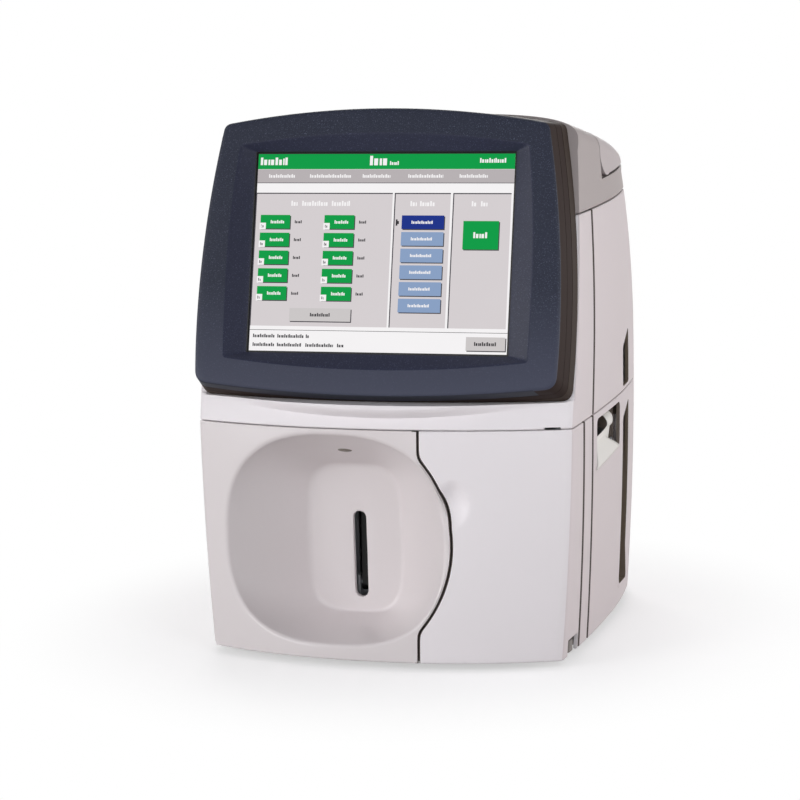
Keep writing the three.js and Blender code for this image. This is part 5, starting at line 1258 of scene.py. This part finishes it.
def arched_loop(loop):
    """A ring of places round a loop: along its four bowed edges and round its corners."""
    t = np.linspace(0, 1, EDGE_PLACES)
    curve = np.linspace(0, 1, CORNER_PLACES + 2)[1:-1][:, None]
    top_end, low_end = loop["top_half"] - loop["top_round"], loop["low_half"] - loop["low_round"]
    x = lerp(top_end, -top_end, t)
    top = np.stack([x, sagged(loop, "top", x)], -1)
    x = lerp(-low_end, low_end, t)
    low = np.stack([x, sagged(loop, "low", x)], -1)
    v = lerp(loop["low_corner"] + loop["low_round"], loop["top_corner"] - loop["top_round"], t)
    right = np.stack([side_of(loop, v), v], -1)
    left = right[::-1] * (-1, 1)
    top_corner = np.array([loop["top_half"], loop["top_corner"]])
    low_corner = np.array([loop["low_half"], loop["low_corner"]])
    flip = np.array([-1, 1])
    return np.concatenate([
        top, bezier(top[-1], top_corner * flip, left[0], curve),
        left, bezier(left[-1], low_corner * flip, low[0], curve),
        low, bezier(low[-1], low_corner, right[0], curve),
        right, bezier(right[-1], top_corner, top[0], curve),
    ])


def screen_loop(margin):
    half, up = SCREEN_HALF + margin, SCREEN_UP + margin
    return {"top_half": half, "top_corner": up, "top_mid": up, "wide_half": half, "wide_v": 0,
            "low_half": half, "low_corner": -up, "low_mid": -up,
            "top_round": SCREEN_ROUND, "low_round": SCREEN_ROUND}


def from_display(points):
    """Takes x, v, w in the display's plane to the model's frame."""
    points = np.asarray(points, float)
    x, v, w = points[..., 0], points[..., 1], points[..., 2]
    y = DISPLAY_Y + v * math.sin(TILT) - w * math.cos(TILT)
    z = DISPLAY_Z + v * math.cos(TILT) + w * math.sin(TILT)
    return np.stack([x, y, z], -1)


def display_ring(loop, w):
    flat = arched_loop(loop)
    return np.column_stack([flat, np.full(len(flat), w)])


def flared(w, out=0):
    """The display's outline at a depth: it flares towards the body."""
    return display_ring(grow(BEZEL, DISPLAY_FLARE * -w / DISPLAY_DEPTH + out), w)


def underside(places):
    """Which places lie on the underside of the display's frame, away from its corners."""
    v, w = display_axes(places)
    low = sagged(BEZEL, "low", places[:, 0])
    near_low, behind, share = 1.2, -0.8, 0.9
    return (v < low + near_low) & (w < behind) & (places[:, 0] < BEZEL["low_half"] * share)


def bezel_edge():
    """Rings from the frame's back over its rounded front edge."""
    rounding, steps = FRAME["round"], FRAME["round_steps"]
    rings = [flared(-depth) for depth in (*FRAME["side_depths"], rounding)]
    for step in range(1, steps + 1):
        angle = math.pi / 2 * step / steps
        out = -DISPLAY_FLARE * rounding / DISPLAY_DEPTH * step / steps - rounding * (1 - math.cos(angle))
        rings.append(flared(-rounding, out))
        rings[-1][:, 2] += rounding * math.sin(angle)
    return rings


def make_bezel():
    rings = bezel_edge()
    outer = display_ring(grow(BEZEL, -FRAME["round"]), 0)
    start = display_ring(grow(RECESS, FRAME["recess_round"]), 0)
    rings += [lerp(outer, start, share) for share in FRAME["face_shares"]]
    corner = display_ring(RECESS, 0)
    low = display_ring(screen_loop(FRAME["bevel_margin"]), -SCREEN_DEEP)
    rings.append(start)
    bevel_row = len(rings)
    after = lerp(corner, low, FRAME["bevel_start_share"])
    rings += [bezier(start, corner, after, t) for t in FRAME["ease_shares"]]
    rings += [lerp(corner, low, share) for share in FRAME["bevel_shares"]]
    gap_row = len(rings) - 1
    rings += [display_ring(screen_loop(margin), -depth) for margin, depth in FRAME["well"]]
    rings.append(rings[0])
    count = len(rings[0])
    side_rows = len(FRAME["side_depths"]) + 1
    starts = [row * count for row in (side_rows, bevel_row, gap_row)]
    faces = grid_faces(len(rings), count, wrap=True)
    picks = [sum(i >= start for start in starts) for i in range(len(faces))]
    # The recess bevel takes its darker material as painted shade
    looks = [band_dark, bezel_plastic, bezel_recess_shaded, black_plastic]
    points = from_display(np.concatenate(rings))
    obj = build("display_bezel_look", "housing", points, faces, looks, picks, sharp=FRAME_SHARP_DEGREES)
    paint(obj, bezel_under, underside)
    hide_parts("display_bezel")


def make_display_shell():
    """The banded housing behind the frame, open to the body behind."""
    rings = [flared(-depth, out) for depth, out in SHELL["outside"]]
    first, last = SHELL["outside"][0][0], SHELL["outside"][-1][0]
    inner = grow(BEZEL, DISPLAY_FLARE * first / DISPLAY_DEPTH - WALL)
    rings += [display_ring(grow(BEZEL, -SHELL["opening"]), -depth) for depth in (last, last - WALL)]
    rings += [display_ring(inner, -depth) for depth in (last - WALL, first)]
    rings.append(rings[0])
    count = len(rings[0])
    faces = grid_faces(len(rings), count, wrap=True)
    picks = [int(i // count in SHELL["light_rows"]) for i in range(len(faces))]
    points = from_display(np.concatenate(rings))
    looks = [band_dark, band_light]
    obj = build("display_rear_shell_look", "housing", points, faces, looks, picks, sharp=FRAME_SHARP_DEGREES)
    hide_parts("display_rear_shell")


# Picture on the screen: plain panels, tiles and short strokes in place of words

def plate(name, rects, material, w):
    """Flat patches on the screen, each (low x, high x, low v, high v) from its middle."""
    points = [(x, v, w) for rect in rects for x, v in rectangle(*rect)]
    faces = [range(start, start + 4) for start in range(0, len(points), 4)]
    obj = new_object(name, from_display(points), faces)
    obj.data.materials.append(material)
    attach(obj, "housing")


def word(low_x, high_x, v, height):
    """Short upright blocks of uneven width and height standing where a word would be."""
    rects, x, i = [], low_x, 0
    while x + BLOCK_WIDTHS[i % len(BLOCK_WIDTHS)] * height <= high_x + height / 4:
        width = BLOCK_WIDTHS[i % len(BLOCK_WIDTHS)] * height
        rise = BLOCK_RISES[i % len(BLOCK_RISES)] * height
        rects.append((x, x + width * BLOCK_SHARE, v - height / 2, v + rise))
        x += width
        i += 1
    return rects


def words(lines):
    return [rect for spans, v, height in lines for span in spans for rect in word(*span, v, height)]


def rows(span, top, pitch, height, count):
    return [(*span, top - i * pitch - height, top - i * pitch) for i in range(count)]


def make_screen():
    glass = screen_loop(GLASS["margin"])
    front_w = -GLASS["deep"]
    rings = [display_ring(glass, w) for w in (front_w, front_w - GLASS["thick"])]
    points = from_display(np.concatenate(rings))
    obj = build("screen_glass_look", "housing", points, tube_faces(len(rings), len(rings[0])), black_plastic)
    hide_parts("screen_glass")
    colors = {name: lit(f"screen_{name}", srgb(*color)) for name, color in SCREEN_COLORS.items()}
    tiles = [rect for span in TILE_SPANS for rect in rows(span, **TILE_ROWS)]
    kinds = rows(KIND_SPAN, **KIND_ROWS)
    bright, dark = [], []
    for a, b, c, d in tiles:
        bright += word(a + 8.5, b - 5, (c + d) / 2, 2.6)
        dark += word(a + 0.6, a + 3.4, c + 2, 2.4)
        dark += word(b + 4, b + 9.5, (c + d) / 2, 2.4)
    for a, b, c, d in kinds:
        bright += word(a + 8, b - 8, (c + d) / 2, 2.4)
    bright += words(BRIGHT_WORDS)
    dark += words(DARK_WORDS)
    right, up = SCREEN_HALF - PICTURE_MARGIN, SCREEN_UP - PICTURE_MARGIN
    lines = [(a, b, d, d + LINE) for a, b, _, d in PANELS]
    lines += [(a - LINE, a, c, d + LINE) for a, _, c, d in PANELS]
    lines += [(-right, right, low, high) for low, high in RULES]
    raised = tiles + kinds + [GO_BUTTON] + BUTTONS
    pieces = [
        ("picture", [(-right, right, -up, up)], "white", 0),
        ("header", [(-right, right, HEADER_LOW, up)], "green", 1),
        ("menu_bar", [(-right, right, *MENU)], "menu", 1),
        ("panels", PANELS, "panel", 1),
        ("lines", lines, "shade", 2),
        ("button_edges", [(a + DROP, b + DROP, c - DROP, d - DROP) for a, b, c, d in raised], "shade", 2),
        ("tiles", tiles + [GO_BUTTON], "green", 3),
        ("kind_first", kinds[:1], "blue", 3),
        ("kinds", kinds[1:], "sky", 3),
        ("buttons", BUTTONS, "button", 3),
        ("checks", [(a - 0.6, a + 4.6, c - 0.6, c + 4.6) for a, _, c, _ in tiles], "white", 4),
        ("bright_words", bright, "white", 4),
        ("dark_words", dark, "ink", 4),
        ("arrow", ARROW, "ink", 4),
    ]
    for name, rects, color, layer in pieces:
        plate(f"screen_{name}", rects, colors[color], front_w + LAYER * (layer + 1))


# Stage and camera

def make_camera():
    data = bpy.data.cameras.new("camera")
    data.sensor_width = SENSOR
    data.lens = SENSOR * FOCAL_SHARE
    data.clip_end = CLIP_METRES
    camera = bpy.data.objects.new("camera", data)
    axes = Matrix((CAMERA_RIGHT, CAMERA_UP, [-value for value in CAMERA_FORWARD]))
    camera.matrix_world = Matrix.Translation(Vector(CAMERA_PLACE) * MM) @ axes.transposed().to_4x4()
    scene.collection.objects.link(camera)
    scene.camera = camera


def ray_switch(tree):
    """One for what the camera sees, also through glass or in a reflection, and nought for light."""
    path = tree.nodes.new("ShaderNodeLightPath").outputs
    direct = {0: path["Is Camera Ray"], 1: path["Is Transmission Ray"]}
    seen = add_node(tree, "Math", direct, operation="MAXIMUM")
    return add_node(tree, "Math", {0: seen, 1: path["Is Glossy Ray"]}, operation="MAXIMUM")


def make_floor():
    """Pale floor that the camera sees as white but for the object's shadow, and all white further off."""
    corners = [(x, y, 0) for x, y in rectangle(-FLOOR_HALF, FLOOR_HALF, -FLOOR_HALF, FLOOR_HALF)]
    floor = new_object("floor", corners, [range(len(corners))])
    floor.location.z = -FLOOR_DROP * MM
    material, tree, plain = tree_of("floor_white")
    set_inputs(tree, plain, {"Base Color": FLOOR_COLOR, "Roughness": 0.9, "Specular IOR Level": 0.1})
    seen = add_node(tree, "BsdfDiffuse", {"Color": FLOOR_SHADE})
    glow = add_node(tree, "Emission", {"Strength": FLOOR_GLOW})
    both = add_node(tree, "AddShader", {0: seen, 1: glow})
    distance = add_node(tree, "VectorMath", {0: own_place(tree)}, "Value", operation="LENGTH")
    fade = {"From Min": FLOOR_FADE[0], "From Max": FLOOR_FADE[1], "Value": distance}
    share = add_node(tree, "MapRange", fade, interpolation_type="SMOOTHSTEP")
    backdrop = add_node(tree, "MixShader", {0: share, 1: both, 2: add_node(tree, "Emission", {})})
    surface = add_node(tree, "MixShader", {0: ray_switch(tree), 1: plain.outputs[0], 2: backdrop})
    set_inputs(tree, tree.nodes["Material Output"], {"Surface": surface})
    floor.data.materials.append(material)


def make_world():
    scene.world = bpy.data.worlds.new("world")
    scene.world.use_nodes = True
    tree = scene.world.node_tree
    tree.nodes.clear()
    light = add_node(tree, "Background", {"Color": WORLD_COLOR, "Strength": WORLD_STRENGTH})
    backdrop = add_node(tree, "Background", {"Color": (1, 1, 1), "Strength": 1.0})
    surface = add_node(tree, "MixShader", {0: ray_switch(tree), 1: light, 2: backdrop})
    output = tree.nodes.new("ShaderNodeOutputWorld")
    set_inputs(tree, output, {"Surface": surface})


def make_lamps():
    for name, place, size, power, color in LAMPS:
        data = bpy.data.lights.new(name, "AREA")
        data.size = size
        data.energy = power
        data.color = color
        lamp = bpy.data.objects.new(name, data)
        lamp.location = place
        direction = Vector(LAMP_TARGET) - Vector(place)
        lamp.rotation_euler = direction.to_track_quat("-Z", "Y").to_euler()
        lamp.visible_camera = False
        scene.collection.objects.link(lamp)


make_camera()
make_floor()
make_world()
make_lamps()
scene.view_settings.view_transform = "Standard"
make_door()
make_upper_front()
make_seam_lips()
make_side_covers()
make_top_cover()
make_handle()
make_rear_cover()
make_feet()
make_paper()
make_paper_end()
make_bowl_cover()
make_bowl_light()
make_bezel()
make_display_shell()
make_screen()
